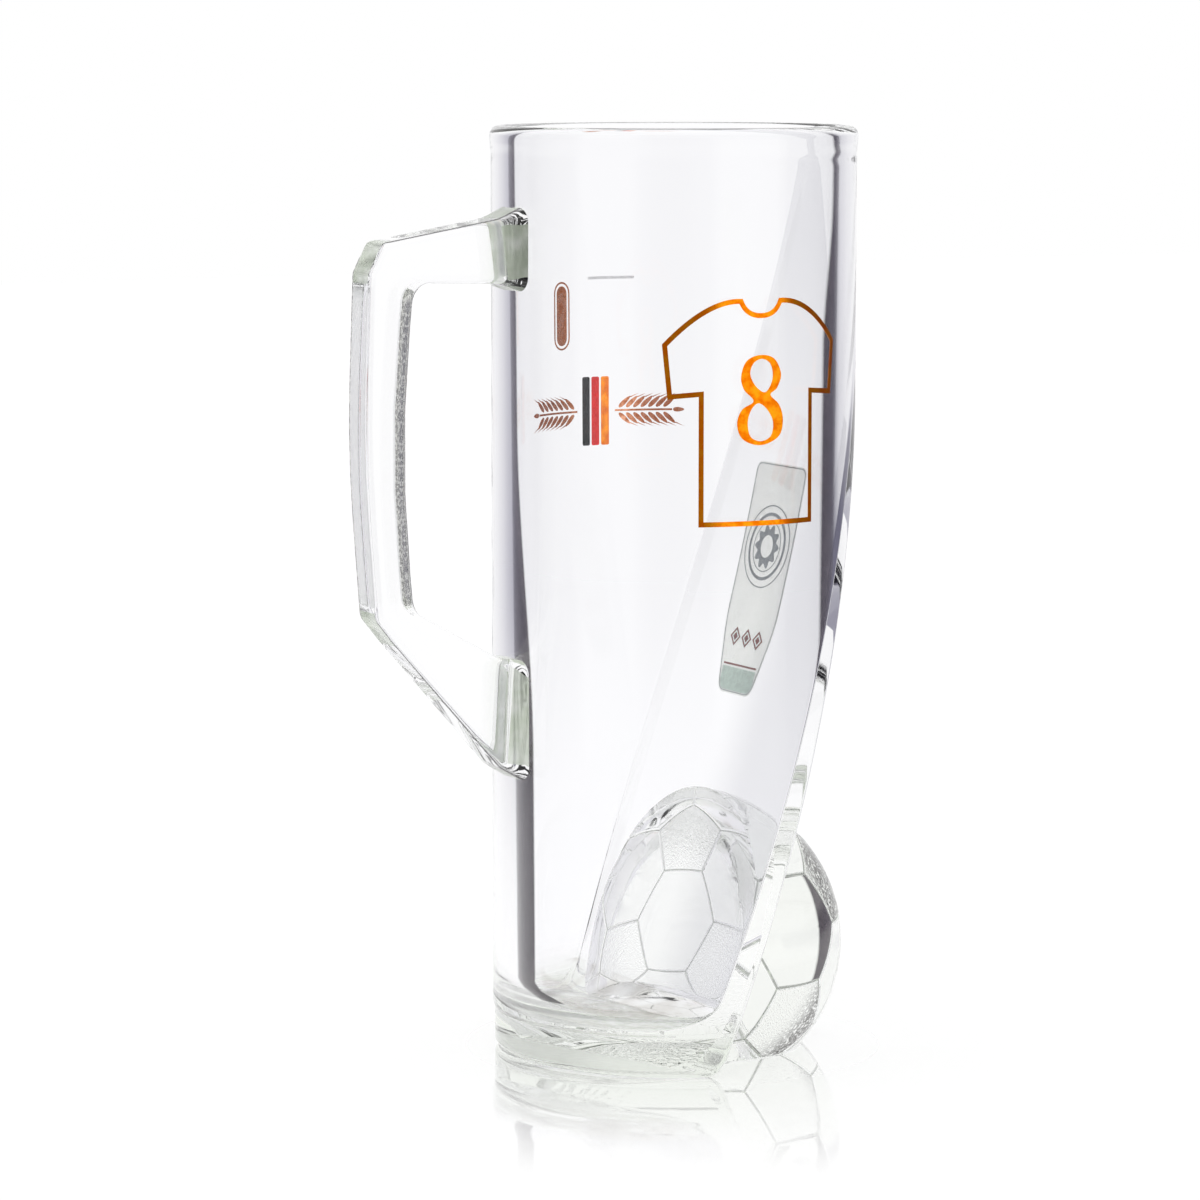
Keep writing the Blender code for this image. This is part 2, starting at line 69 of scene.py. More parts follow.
def length(name, millimetres, description):
    """A length property, with its default in millimetres."""
    return FloatProperty(
        name=name, description=description, default=millimetres / 1000, unit="LENGTH", precision=5
    )


def colour(name, code, description):
    """A colour property, with its default as sRGB hex."""
    return FloatVectorProperty(
        name=name, description=description, default=linear(code), subtype="COLOR", size=3, min=0, max=1
    )


def angle(name, degrees, description):
    """An angle property, with its default in degrees."""
    return FloatProperty(name=name, description=description, default=math.radians(degrees), subtype="ANGLE")


class CupSizes(PropertyGroup):
    """The pressed cup."""

    height: length("Height", 196, "Table to lip")
    radius: length("Radius", 38.5, "Outside of the round wall")
    wall: length("Wall", 3.6, "Thickness of the round wall")
    rim_bulge: length("Rim bulge", 0.25, "How far the rim band stands out of the wall")
    rim_band: length("Rim band", 7.0, "Height of the rim band")
    floor: length("Floor", 8.5, "Inner floor above the table")
    floor_fillet: length("Floor fillet", 7.0, "Rounding between inner floor and wall")
    floor_swell: length("Floor swell", 0.4, "Height of the slow swells of the inner floor")
    foot: length("Foot", 8.8, "Height of the foot below its step")
    foot_inset: length("Foot inset", 0.4, "How much smaller the foot is than the wall")
    foot_rounding: length("Foot rounding", 2.0, "Rounding of the foot's edge")
    draft: length("Draft", 1.8, "How much narrower the hollow is at the floor than at the lip")
    face_top: length("Face top", 190, "Height where the slanted face leaves the wall")
    face_foot: length("Face foot", -7.9, "The face's distance from the axis at the table")
    face_wall: length("Face wall", 3.8, "Thickness of the slanted wall at the table")
    face_edge: length("Face edge", 2.0, "Rounding of the face's outer edges")
    face_cut: length("Face cut", 0.3, "How far the face's top stands into the hollow")
    hollow_edge: length("Hollow edge", 0.9, "Rounding of the hollow's edges along the face")


class BallSizes(PropertyGroup):
    """The football at the foot."""

    radius: length("Radius", 32.5, "Radius of the ball")
    forward: length("Forward", 4.3, "Its centre in front of the cup's axis")
    rise: length("Rise", 22.0, "Its centre above the table")
    seam_half: length("Seam half width", 0.5, "Half the width of a sunk seam")
    seam_depth: length("Seam depth", 0.42, "Depth of a sunk seam")


class HandleSizes(PropertyGroup):
    """The strap handle."""

    width: length("Width", 10.0, "Across the strap")
    edge: length("Edge", 1.5, "Rounding of the strap's edges")
    flare: length("Flare", 1.8, "How much each side widens at the wall")
    flare_length: length("Flare length", 3.6, "Length over which the roots widen")


class PrintSizes(PropertyGroup):
    """The fired prints."""

    film: length("Film", 0.06, "Thickness of a print")
    stand_off: length("Stand-off", 0.03, "Clearance between a print and the glass")
    line: length("Line", 1.05, "Width of the jersey's line")
    jersey_middle: length("Jersey middle", -0.8, "Its middle line from the cup's, along the wall")
    jersey_below_rim: length("Jersey below rim", 35.0, "Lip to collar")
    jersey_height: length("Jersey height", 45.5, "Collar to hem")
    jersey_width: length("Jersey width", 25.8, "Its trunk, along the wall")
    jersey_span: length("Jersey span", 40.8, "Sleeve to sleeve, along the wall")
    jersey_collar: length("Collar", 9.1, "Width of the collar")
    collar_dip: length("Collar dip", 3.0, "Depth of the collar")
    sleeve_drop: length("Sleeve drop", 8.8, "Sleeve tip below the collar")
    sleeve_opening: length("Sleeve opening", 10.5, "Height of a sleeve's end")
    number_height: length("Number height", 18.5, "Height of the number")
    number_width: length("Number width", 10.7, "Width of the number")
    number_below_collar: length("Number below collar", 11.0, "Collar to the number's top")
    emblem_below_rim: length("Emblem below rim", 63.0, "Lip to the middle of ears and bars")
    ear_length: length("Ear length", 14.5, "Length of a barley ear")
    grains: IntProperty(name="Grains", description="Pairs of grains on an ear", default=7, min=1)
    bar_width: length("Bar width", 2.1, "Width of one bar")
    bar_height: length("Bar height", 15.0, "Height of the bars")
    bar_gap: length("Bar gap", 0.5, "Clear strip between bars")
    bar_corner: length("Bar corner", 0.4, "Rounding of a bar's corners")
    capsule_turn: angle("Capsule place", 105, "Round the cup, from the slanted face")
    capsule_below_rim: length("Capsule below rim", 42.0, "Lip to the capsule's middle")
    capsule_width: length("Capsule width", 4.2, "Width of the capsule")
    capsule_height: length("Capsule height", 13.8, "Height of the capsule")
    fill_turn: angle("Fill mark place", 84, "Round the cup, from the slanted face")
    fill_below_rim: length("Fill mark below rim", 34.0, "Lip to the fill mark")
    fill_length: length("Fill mark length", 12.0, "Length of the fill mark")
    fill_height: length("Fill mark height", 0.6, "Thickness of the fill mark")
    label_bottom: length("Label bottom", 73.8, "Table to the label's lower edge")
    label_height: length("Label height", 49.0, "Height of the label")
    label_width: length("Label width", 20.8, "Width of the label at its top")
    label_taper: length("Label taper", 3.6, "How much each side draws in towards the bottom")
    label_knee: length("Label knee", 15.0, "Height above its bottom where it starts to draw in")
    label_corner: length("Label corner", 2.4, "Rounding of the label's corners")
    label_margin: length("Label margin", 2.2, "Clear strip between the label's motifs")
    band_height: length("Band height", 4.8, "Height of the label's band")
    band_inset: length("Band inset", 0.6, "Clear strip between the band and the label's edge")
    label_line: length("Label line", 0.4, "Width of the line above the band and of the lozenges' line")
    label_hairline: length("Label hairline", 0.18, "Width of the line round the label")
    lozenge_width: length("Lozenge width", 4.6, "Spacing of the lozenges")
    lozenge_height: length("Lozenge height", 4.0, "Height of a lozenge")
    rosette_radius: length("Rosette radius", 8.8, "Radius of the rosette")
    rosette_hole: length("Rosette hole", 4.8, "Radius of the rosette's middle")
    rosette_line: length("Rosette line", 0.25, "Width of the rosette's outer line")


class MugColours(PropertyGroup):
    """Colours of glass and prints, and of the painted shade and reflections in the glass."""

    glass: colour("Glass", "FDFDFE", "Thin glass, looked through once")
    glass_thick: colour("Thick glass", "E6EBE2", "Glass in the foot and in the handle's roots")
    # Painted shade and painted reflection: the grey laid on the slanted wall's near side and upper part
    painted_face_grey: colour("Slanted glass", "D4D4D9", "Near side and upper part of the slanted wall")
    # Painted shade: grey patches on the inner floor for the swirls its swells bend into view
    painted_floor_shade: colour("Floor glass", "D4D0CC", "Inner floor of the cup")
    glass_dull: colour("Dull glass", "B4BFAA", "Handle where the mould left it dull")
    # Painted reflection: dark and light specks of the room, on the grip and, dark only, on the stippled panels
    # at a slant
    painted_dark_speck: colour("Dark grain", "2A2826", "Pits of the rough grip")
    painted_light_speck: colour("Light grain", "D6D6D0", "Peaks of the rough grip")
    glass_ball: colour("Ball glass", "F4F6F2", "Glass of the ball")
    # Painted shade: the grey of the ball's grooves
    painted_groove_shade: colour("Groove glass", "787C76", "Unpolished grooves of the ball")
    # Painted reflection of the dark room: the hollow's lines from within the glass and from inside the cup, the
    # dark patch of the ball's side panels and the dark edges of the strap
    painted_dark_reflection: colour("Near line", "1C181C", "Dark line of the hollow, seen from within the glass")
    painted_pale_reflection: colour("Far line", "A29EAC", "Dark line of the hollow, seen from inside the cup")
    gold: colour("Gold", "FF9C12", "Gold lustre of the jersey and the number")
    gold_deep: colour("Deep gold", "E66E02", "Gold lustre where it is thicker")
    copper: colour("Copper", "F8B48C", "Copper lustre of the far wall's prints")
    copper_deep: colour("Deep copper", "C07040", "Copper lustre where it is thicker")
    silver: colour("Silver", "F2F3F0", "Silver ink of the label")
    silver_deep: colour("Silver shade", "E8EAE5", "Silver ink where it is thinner")
    pale_green: colour("Pale green", "CFE2D8", "Band on the label")
    dark_red: colour("Dark red", "7A1C18", "Lozenges on the label")
    grey: colour("Grey", "8C949A", "Rosette on the label")
    black: colour("Black", "101214", "Black bar")
    red: colour("Red", "EC140C", "Red bar")
    frost: colour("Frost", "E8E8E8", "Fill mark")


# Small tools

WELD = 0.000002  # points closer than this are one point


def smooth(low, high, value):
    """0 below low, 1 above high, with a soft run between."""
    t = np.clip((np.asarray(value, float) - low) / (high - low), 0, 1)
    return t * t * (3 - 2 * t)


def new_object(name, data):
    """An object of this mesh, curve or camera, in the scene."""
    obj = bpy.data.objects.new(name, data)
    bpy.context.scene.collection.objects.link(obj)
    return obj


def new_mesh(name, points, faces, kinds=None):
    """A mesh with smooth shading, whose faces take materials by their kinds."""
    mesh = bpy.data.meshes.new(name)
    mesh.from_pydata([tuple(p) for p in points], [], [tuple(f) for f in faces])
    mesh.shade_smooth()
    if kinds:
        mesh.polygons.foreach_set("material_index", kinds)
    return mesh


def face_outwards(mesh, weld=0.0):
    """Turns the faces of a closed mesh outwards, once points that lie this close are joined."""
    bm = bmesh.new()
    bm.from_mesh(mesh)
    if weld:
        bmesh.ops.remove_doubles(bm, verts=bm.verts, dist=weld)
    bmesh.ops.recalc_face_normals(bm, faces=bm.faces)
    bm.to_mesh(mesh)
    bm.free()
    return mesh


def band_faces(first, second, count):
    """Faces between two rings of this many points, which start at these indices."""
    return [(first + j, first + (j + 1) % count, second + (j + 1) % count, second + j) for j in range(count)]


def place_piece(obj, slot, *nodes):
    """Hands a finished piece to the frame: what it rides on and what it stands for. The slot is not used."""
    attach(obj, "root")
    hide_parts(*nodes)
    return obj


def add_node(tree, kind, settings=None, inputs=None):
    """Adds a node with its settings, and sets or links its inputs."""
    node = tree.nodes.new(kind)
    for key, value in (settings or {}).items():
        setattr(node, key, value)
    for key, value in (inputs or {}).items():
        if isinstance(value, bpy.types.NodeSocket):
            tree.links.new(value, node.inputs[key])
        else:
            node.inputs[key].default_value = value
    return node


def new_material(name):
    """A material of this name, with its node tree and its Principled shader."""
    material = bpy.data.materials.new(name)
    material.use_nodes = True
    return material, material.node_tree, material.node_tree.nodes["Principled BSDF"]


def set_inputs(shader, **values):
    """Sets sockets of a shader that are the same all over the surface."""
    for key, value in values.items():
        shader.inputs[key.replace("_", " ").title().replace("Ior", "IOR")].default_value = value


def per_mm(millimetres):
    """Texture scale at which one feature is this many millimetres across."""
    return 1000 / millimetres


# Glass

GLASS_IOR = 1.52
# The room is dark round the camera, so the cup's wall mirrors less than it would in the white of this stage
CUP_MIRROR = (0.4, 0.4, 0.4, 1)
# From within the glass, light at a steeper slant than this is mirrored and doesn't pass
TRAPPED_SLANT = 0.2475


def glass_material(name, thin, thick, where, waves=None, **inputs):
    """Soda-lime glass, clear and smooth. The eye sees it by what it bends and mirrors, and by a second colour
    that where(tree, position) marks from 0 to 1: the iron's grey-green in thick stretches, or painted shade and
    painted reflections. Waves are the length and the depth of its ripples in millimetres."""
    material, tree, shader = new_material(name)
    position = add_node(tree, "ShaderNodeTexCoord").outputs["Object"]
    mix = add_node(tree, "ShaderNodeMix", {"data_type": "RGBA"}, {
        "Factor": where(tree, position), 6: (*thin, 1), 7: (*thick, 1),
    })
    tree.links.new(mix.outputs[2], shader.inputs["Base Color"])
    set_inputs(shader, **{"transmission_weight": 1.0, "ior": GLASS_IOR, "roughness": 0.0, **inputs})
    if waves:
        ripple(tree, shader, position, *waves)
    return material


def fall(tree, value, full, none):
    """1 where value reaches full, 0 where it reaches none, and a soft run between."""
    node = add_node(tree, "ShaderNodeMapRange", {"interpolation_type": "SMOOTHSTEP"}, {
        "Value": value, "From Min": none, "From Max": full,
    })
    return node.outputs["Result"]


def height_of(tree, position):
    """Height above the table, or the rise of a direction."""
    return add_node(tree, "ShaderNodeSeparateXYZ", None, {0: position}).outputs["Z"]


def mottle(tree, position, millimetres, full=0.62, none=0.38):
    """Soft patches of this size, from 0 to 1."""
    noise = add_node(tree, "ShaderNodeTexNoise", None, {
        "Vector": position, "Scale": per_mm(millimetres), "Detail": 2.0,
    })
    return fall(tree, noise.outputs[0], full, none)


def level_slant(tree):
    """How far round the cup's side a ray meets the surface: 0 square on, 1 along it, whatever its rise."""

    def cosine(inputs=None):
        facing = add_node(tree, "ShaderNodeLayerWeight", None, inputs).outputs["Facing"]
        return add_node(tree, "ShaderNodeMath", {"operation": "SUBTRACT"}, {0: 1.0, 1: facing}).outputs[0]

    upright = add_node(tree, "ShaderNodeCombineXYZ", None, {"Z": 1.0}).outputs[0]
    rise = cosine({"Normal": upright})
    steep = add_node(tree, "ShaderNodeMath", {"operation": "MULTIPLY"}, {0: rise, 1: rise}).outputs[0]
    flat = add_node(tree, "ShaderNodeMath", {"operation": "SUBTRACT"}, {0: 1.0, 1: steep}).outputs[0]
    level = add_node(tree, "ShaderNodeMath", {"operation": "SQRT"}, {0: flat}).outputs[0]
    share = add_node(tree, "ShaderNodeMath", {"operation": "DIVIDE"}, {0: cosine(), 1: level}).outputs[0]
    return add_node(tree, "ShaderNodeMath", {"operation": "SUBTRACT"}, {0: 1.0, 1: share}).outputs[0]


def ripple(tree, shader, position, millimetres, depth_mm):
    """Bump of this feature size and depth on a shader."""
    noise = add_node(tree, "ShaderNodeTexNoise", None, {
        "Vector": position, "Scale": per_mm(millimetres), "Detail": 2.0,
    })
    bump = add_node(tree, "ShaderNodeBump", None, {
        "Height": noise.outputs[0], "Distance": depth_mm / 1000, "Strength": 1.0,
    })
    tree.links.new(bump.outputs[0], shader.inputs["Normal"])


def cup_glass(colours):
    """Pressed, then fire-polished: the outside is bright and smooth, with slow ripples some 30 mm long."""
    return glass_material(
        "soda_lime_glass_fire_polished", colours.glass, colours.glass_thick,
        lambda tree, position: fall(tree, height_of(tree, position), 0.004, 0.016),
        waves=(30, 0.006), specular_tint=CUP_MIRROR,
    )


def hollow_glass(colours):
    """The plunger's side of the wall. Light that crosses it at a low slant comes from far aside, where the
    room is dark, so the hollow is drawn with dark lines: broad in the thick lower wall, fine in the upper."""
    material, tree, shader = new_material("soda_lime_glass_plunger_side")
    position = add_node(tree, "ShaderNodeTexCoord").outputs["Object"]
    slant = level_slant(tree)
    behind = add_node(tree, "ShaderNodeNewGeometry").outputs["Backfacing"]
    place = add_node(tree, "ShaderNodeSeparateXYZ", None, {0: position}).outputs
    low = fall(tree, place["Z"], 0.066, 0.135)
    below_rim = fall(tree, place["Z"], 0.150, 0.182)
    front = fall(tree, place["X"], 0.016, 0.004)

    def between(share, none, full):
        return add_node(tree, "ShaderNodeMix", None, {"Factor": share, 2: none, 3: full}).outputs[0]

    lines = []
    # From the air side, then from the glass side: where a line starts in the upper wall, in the lower wall,
    # under the rim in front and further down in front, and how soft it is behind and in front
    for fine, broad, rim, face, soft, slow in (
        (0.85, 0.53, 0.85, 0.85, 0.03, 0.03), (0.222, 0.18, 0.22, 0.195, 0.006, 0.012),
    ):
        start = between(front, between(low, fine, broad), between(below_rim, rim, face))
        width = between(front, soft, slow)
        end = add_node(tree, "ShaderNodeMath", {"operation": "ADD"}, {0: start, 1: width})
        lines.append(fall(tree, slant, end.outputs[0], start))
    passes = add_node(tree, "ShaderNodeMath", {"operation": "LESS_THAN"}, {0: slant, 1: TRAPPED_SLANT})
    inner = add_node(tree, "ShaderNodeMath", {"operation": "MULTIPLY"}, {0: lines[1], 1: passes.outputs[0]})
    amount = add_node(tree, "ShaderNodeMix", None, {"Factor": behind, 2: lines[0], 3: inner.outputs[0]})
    shade = add_node(tree, "ShaderNodeMix", {"data_type": "RGBA"}, {
        "Factor": behind, 6: (*colours.painted_pale_reflection, 1), 7: (*colours.painted_dark_reflection, 1),
    })
    base = add_node(tree, "ShaderNodeMix", {"data_type": "RGBA"}, {
        "Factor": amount.outputs[0], 6: (*colours.glass, 1), 7: shade.outputs[2],
    })
    tree.links.new(base.outputs[2], shader.inputs["Base Color"])
    set_inputs(shader, transmission_weight=1.0, ior=GLASS_IOR, roughness=0.0, specular_tint=CUP_MIRROR)
    ripple(tree, shader, position, 18, 0.008)
    return material


def face_glass(colours):
    """The slanted wall inside, painted a little grey: a painted reflection on its upper part, which is met at a
    low slant and mirrors more, and painted shade on its near side."""

    # Where the painted reflection (upper part) and painted shade (near side) grey the wall, from 0 to 1
    def grey(tree, position):
        place = add_node(tree, "ShaderNodeSeparateXYZ", None, {0: position}).outputs
        upper = add_node(tree, "ShaderNodeMath", {"operation": "MULTIPLY"}, {
            0: fall(tree, place["Z"], 0.125, 0.075), 1: 0.62,
        })
        side = fall(tree, place["Y"], -0.018, 0.002)
        most = add_node(tree, "ShaderNodeMath", {"operation": "MAXIMUM"}, {0: upper.outputs[0], 1: side})
        return most.outputs[0]

    return glass_material(
        "soda_lime_glass_slanted_wall", colours.glass, colours.painted_face_grey, grey,
        waves=(22, 0.006), specular_tint=CUP_MIRROR,
    )


def floor_glass(colours):
    """The inner floor, where the plunger chilled the glass into slow swells. Soft patches of faint warm grey
    are painted shade for the swirls that the swells bend into view.
    """
    return glass_material(
        "soda_lime_glass_floor_painted_shade", colours.glass, colours.painted_floor_shade,
        lambda tree, position: mottle(tree, position, 9),
        waves=(6, 0.02), specular_tint=CUP_MIRROR,
    )


def underside_glass(colours):
    """The underside, pressed on a stippled plate so that it stands firm: it scatters what the foot shows."""
    return glass_material(
        "soda_lime_glass_stippled_underside", colours.glass_thick, colours.glass,
        lambda tree, position: mottle(tree, position, 1.5),
        waves=(1.5, 0.05), roughness=0.3,
    )


def ball_glass(colours):
    """The same glass, polished in the mould: the ball is solid, so it is slightly green all through."""
    return glass_material(
        "soda_lime_glass_mould_polished", colours.glass, colours.glass_ball,
        lambda tree, position: fall(tree, height_of(tree, position), 0.0, 0.09),
        waves=(14, 0.008),
    )


def outside_only(tree, share):
    """The share where the surface is met from the air, and nothing where it is met from within the glass."""
    behind = add_node(tree, "ShaderNodeNewGeometry").outputs["Backfacing"]
    return add_node(tree, "ShaderNodeMath", {"operation": "SUBTRACT"}, {0: share, 1: behind}).outputs[0]


def stippled_glass(colours):
    """Glass from an etched mould: pebbles break up what is behind, and at a slant each is painted with a grey
    speck, a painted reflection of the dim room. Real ones are about 0.4 mm, drawn at 0.5 mm so that they show."""

    # Painted reflection: grey specks where the panel is met from the air at a slant
    def specks(tree, position):
        slant = add_node(tree, "ShaderNodeLayerWeight").outputs["Facing"]
        outside = outside_only(tree, fall(tree, slant, 0.66, 0.42))
        grains = mottle(tree, position, 0.7, 0.5, 0.36)
        return add_node(tree, "ShaderNodeMath", {"operation": "MULTIPLY"}, {0: outside, 1: grains}).outputs[0]

    material = glass_material(
        "soda_lime_glass_stippled", colours.glass_ball, colours.painted_dark_speck, specks, roughness=0.05,
    )
    tree = material.node_tree
    position = add_node(tree, "ShaderNodeTexCoord").outputs["Object"]
    pebbles = add_node(tree, "ShaderNodeTexVoronoi", {"feature": "SMOOTH_F1"}, {
        "Vector": position, "Scale": per_mm(0.5), "Smoothness": 0.4,
    })
    bump = add_node(tree, "ShaderNodeBump", {"invert": True}, {
        "Height": pebbles.outputs["Distance"], "Distance": 0.00012, "Strength": 1.0,
    })
    tree.links.new(bump.outputs[0], tree.nodes["Principled BSDF"].inputs["Normal"])
    return material


def seam_glass(colours):
    """The grooves of the ball, cut into the mould and never polished, so a little rough, and painted grey: fine
    lines of painted shade.
    """
    return glass_material(
        "soda_lime_glass_cut_groove", colours.painted_groove_shade, colours.glass_dull,
        lambda tree, position: mottle(tree, position, 1.2, 0.8, 0.5), roughness=0.3,
    )


def side_glass(colours):
    """The ball's panels beside the face. At a slant they look back into the dim room, so one dark patch is
    painted there: a painted reflection.
    """

    def dark(tree, position):
        slant = add_node(tree, "ShaderNodeLayerWeight").outputs["Facing"]
        band = add_node(tree, "ShaderNodeMath", {"operation": "MULTIPLY"}, {
            0: fall(tree, slant, 0.49, 0.46), 1: fall(tree, slant, 0.70, 0.73),
        })
        return outside_only(tree, band.outputs[0])

    return glass_material(
        "soda_lime_glass_mould_polished_side", colours.glass_ball, colours.painted_dark_reflection, dark, waves=(14, 0.008),
    )


def from_axis(tree, position):
    """Distance from the cup's axis."""
    flat = add_node(tree, "ShaderNodeVectorMath", {"operation": "MULTIPLY"}, {0: position, 1: (1, 1, 0)})
    far = add_node(tree, "ShaderNodeVectorMath", {"operation": "LENGTH"}, {0: flat.outputs[0]})
    return far.outputs["Value"]


def handle_glass(colours):
    """Pressed glass of the strap: clear, and grey-green in the thick roots."""
    return glass_material(
        "soda_lime_glass_pressed", colours.glass, colours.glass_thick,
        lambda tree, position: fall(tree, from_axis(tree, position), 0.0395, 0.046),
        waves=(16, 0.012),
    )


def edge_glass(colours):
    """Rounded edges of the strap. At a slant they turn to the dim room, so each is painted with a thin dark
    line: a painted reflection.
    """

    def line(tree, position):
        return fall(tree, add_node(tree, "ShaderNodeLayerWeight").outputs["Facing"], 0.6, 0.4)

    return glass_material(
        "soda_lime_glass_pressed_edge", colours.glass, colours.painted_dark_reflection, line, waves=(16, 0.012),
    )


def grip_glass(colours):
    """The palm side of the grip, left rough by the mould. Met square on it is only hazy. At a slant it would
    mirror, so there the grain is painted with dark and light specks, a painted reflection of the room. Grains
    are about 0.3 mm, drawn at 0.8 mm so that they show."""
    material = glass_material(
        "soda_lime_glass_mould_rough", colours.painted_dark_speck, colours.painted_light_speck,
        lambda tree, position: mottle(tree, position, 0.8, 0.64, 0.42),
        transmission_weight=0.25, roughness=0.25,
    )
    tree = material.node_tree
    base = tree.nodes["Principled BSDF"].inputs["Base Color"]
    # Painted reflection: the specks show only at a slant, and the grip keeps the clear glass colour square on
    slant = add_node(tree, "ShaderNodeLayerWeight").outputs["Facing"]
    seen = add_node(tree, "ShaderNodeMix", {"data_type": "RGBA"}, {
        "Factor": fall(tree, slant, 0.45, 0.25), 6: (*colours.glass, 1), 7: base.links[0].from_socket,
    })
    tree.links.new(seen.outputs[2], base)
    return material


def dull_glass(colours):
    """Roots and corners of the strap, where the mould's joints left the glass dull: grey-green and hazy."""
    return glass_material(
        "soda_lime_glass_mould_dulled", colours.glass_dull, colours.glass_thick,
        lambda tree, position: mottle(tree, position, 5, 0.85, 0.3),
        waves=(1.5, 0.01), transmission_weight=0.6, roughness=0.22,
    )


def seam_material():
    """Where two pieces of glass are fused there is no surface: light passes unbent."""
    material, tree, shader = new_material("fused_glass_seam")
    tree.nodes.remove(shader)
    clear = add_node(tree, "ShaderNodeBsdfTransparent")
    tree.links.new(clear.outputs[0], tree.nodes["Material Output"].inputs["Surface"])
    return material


# Glass shapes


def face_x(z, top_x, foot_x, top_z):
    """The slanted face's distance from the axis at a height: steep at the foot, upright at the top."""
    foot_slope, top_slope = 0.36, 0.04
    t = np.clip(z / top_z, 0, 1)
    curve = (2 * t**3 - 3 * t**2 + 1) * foot_x + (t**3 - 2 * t**2 + t) * foot_slope * top_z
    return curve + (3 * t**2 - 2 * t**3) * top_x + (t**3 - t**2) * top_slope * top_z


# Points of a cup section: on the face, on each rounded edge and on the round wall
ON_FACE, ON_EDGE, ON_WALL = 44, 10, 150
# Sections up the outside: the foot's rounding, the foot, its step, the wall and the rim band
FOOT_ROUND_ROWS, FOOT_ROWS, STEP_ROWS, WALL_ROWS, RIM_ROWS = 9, 5, 7, 118, 9
# Sections over the lip, down the hollow and round the floor's fillet, and rings across the floor
LIP_ROWS, HOLLOW_ROWS, FILLET_ROWS, FLOOR_RINGS = 15, 116, 12, 14
SLIVER = 0.00004  # a flat this deep is left where the face has run out, so that all sections match
LEAST_EDGE = 0.0006  # rounding that the face's edges keep under the foot


def section(radius, face, edge):
    """A circle with one side cut flat at x = face and both edges rounded, counter-clockwise from above."""
    face = min(face, radius - SLIVER)
    edge = min(edge, 0.9 * (radius + face) / 2)
    side = math.sqrt((radius - edge) ** 2 - (face - edge) ** 2)
    turn = math.atan2(side, face - edge)
    flat = np.linspace(-side, side, ON_FACE + 1)
    points = [np.stack([np.full_like(flat, face), flat], 1)]
    upper = turn * np.arange(1, ON_EDGE + 1) / ON_EDGE
    points.append(np.stack([face - edge + edge * np.cos(upper), side + edge * np.sin(upper)], 1))
    around = turn + (2 * math.pi - 2 * turn) * np.arange(1, ON_WALL + 1) / ON_WALL
    points.append(radius * np.stack([np.cos(around), np.sin(around)], 1))
    lower = -turn + turn * np.arange(1, ON_EDGE) / ON_EDGE
    points.append(np.stack([face - edge + edge * np.cos(lower), -side + edge * np.sin(lower)], 1))
    return np.concatenate(points)


def cup_rows(s):
    """The cup's sections as (height, radius, face, edge): up the outside, over the lip, down the inside."""
    bore = s.radius - s.wall

    def outer(z):
        return float(face_x(z, s.radius, s.face_foot, s.face_top))

    def inner(z):
        if z > s.face_top:
            return bore
        return float(face_x(z, bore - s.face_cut, s.face_foot - s.face_wall, s.face_top))

    foot = s.radius - s.foot_inset
    rows = []
    for a in np.linspace(0, math.pi / 2, FOOT_ROUND_ROWS):
        inset = s.foot_rounding * (1 - math.sin(a))
        z = s.foot_rounding * (1 - math.cos(a))
        rows.append((z, foot - inset, outer(z) - inset, max(1.4 * s.face_edge - inset, LEAST_EDGE)))
    lip = (s.wall + s.rim_bulge) / 2
    step_low, step_top = s.foot - s.foot_inset, s.foot + 2 * s.foot_inset
    rim_low, rim_top = s.height - s.rim_band, s.height - lip
    wall = []
    for low, top, count in (
        (s.foot_rounding, step_low, FOOT_ROWS), (step_low, step_top, STEP_ROWS),
        (step_top, rim_low, WALL_ROWS), (rim_low, rim_top, RIM_ROWS),
    ):
        wall += list(np.linspace(low, top, count)[1:])
    for z in wall:
        radius = foot + s.foot_inset * float(smooth(step_low, step_top, z))
        radius += s.rim_bulge * float(smooth(rim_low, rim_top, z))
        rows.append((z, radius, min(outer(z), radius), s.face_edge))
    middle = bore + lip
    for a in np.linspace(0, math.pi, LIP_ROWS)[1:-1]:
        radius = middle + lip * math.cos(a)
        rows.append((rim_top + lip * math.sin(a), radius, radius, s.face_edge))
    for z in np.linspace(rim_top, s.floor + s.floor_fillet, HOLLOW_ROWS):
        rows.append((z, bore - s.draft * (1 - z / s.height), inner(z), s.hollow_edge))
    for a in np.linspace(0, math.pi / 2, FILLET_ROWS)[1:]:
        inset = s.floor_fillet * (1 - math.cos(a))
        z = s.floor + s.floor_fillet * (1 - math.sin(a))
        rows.append((z, bore - s.draft - inset, inner(z) - inset, s.hollow_edge + 0.4 * inset))
    return rows


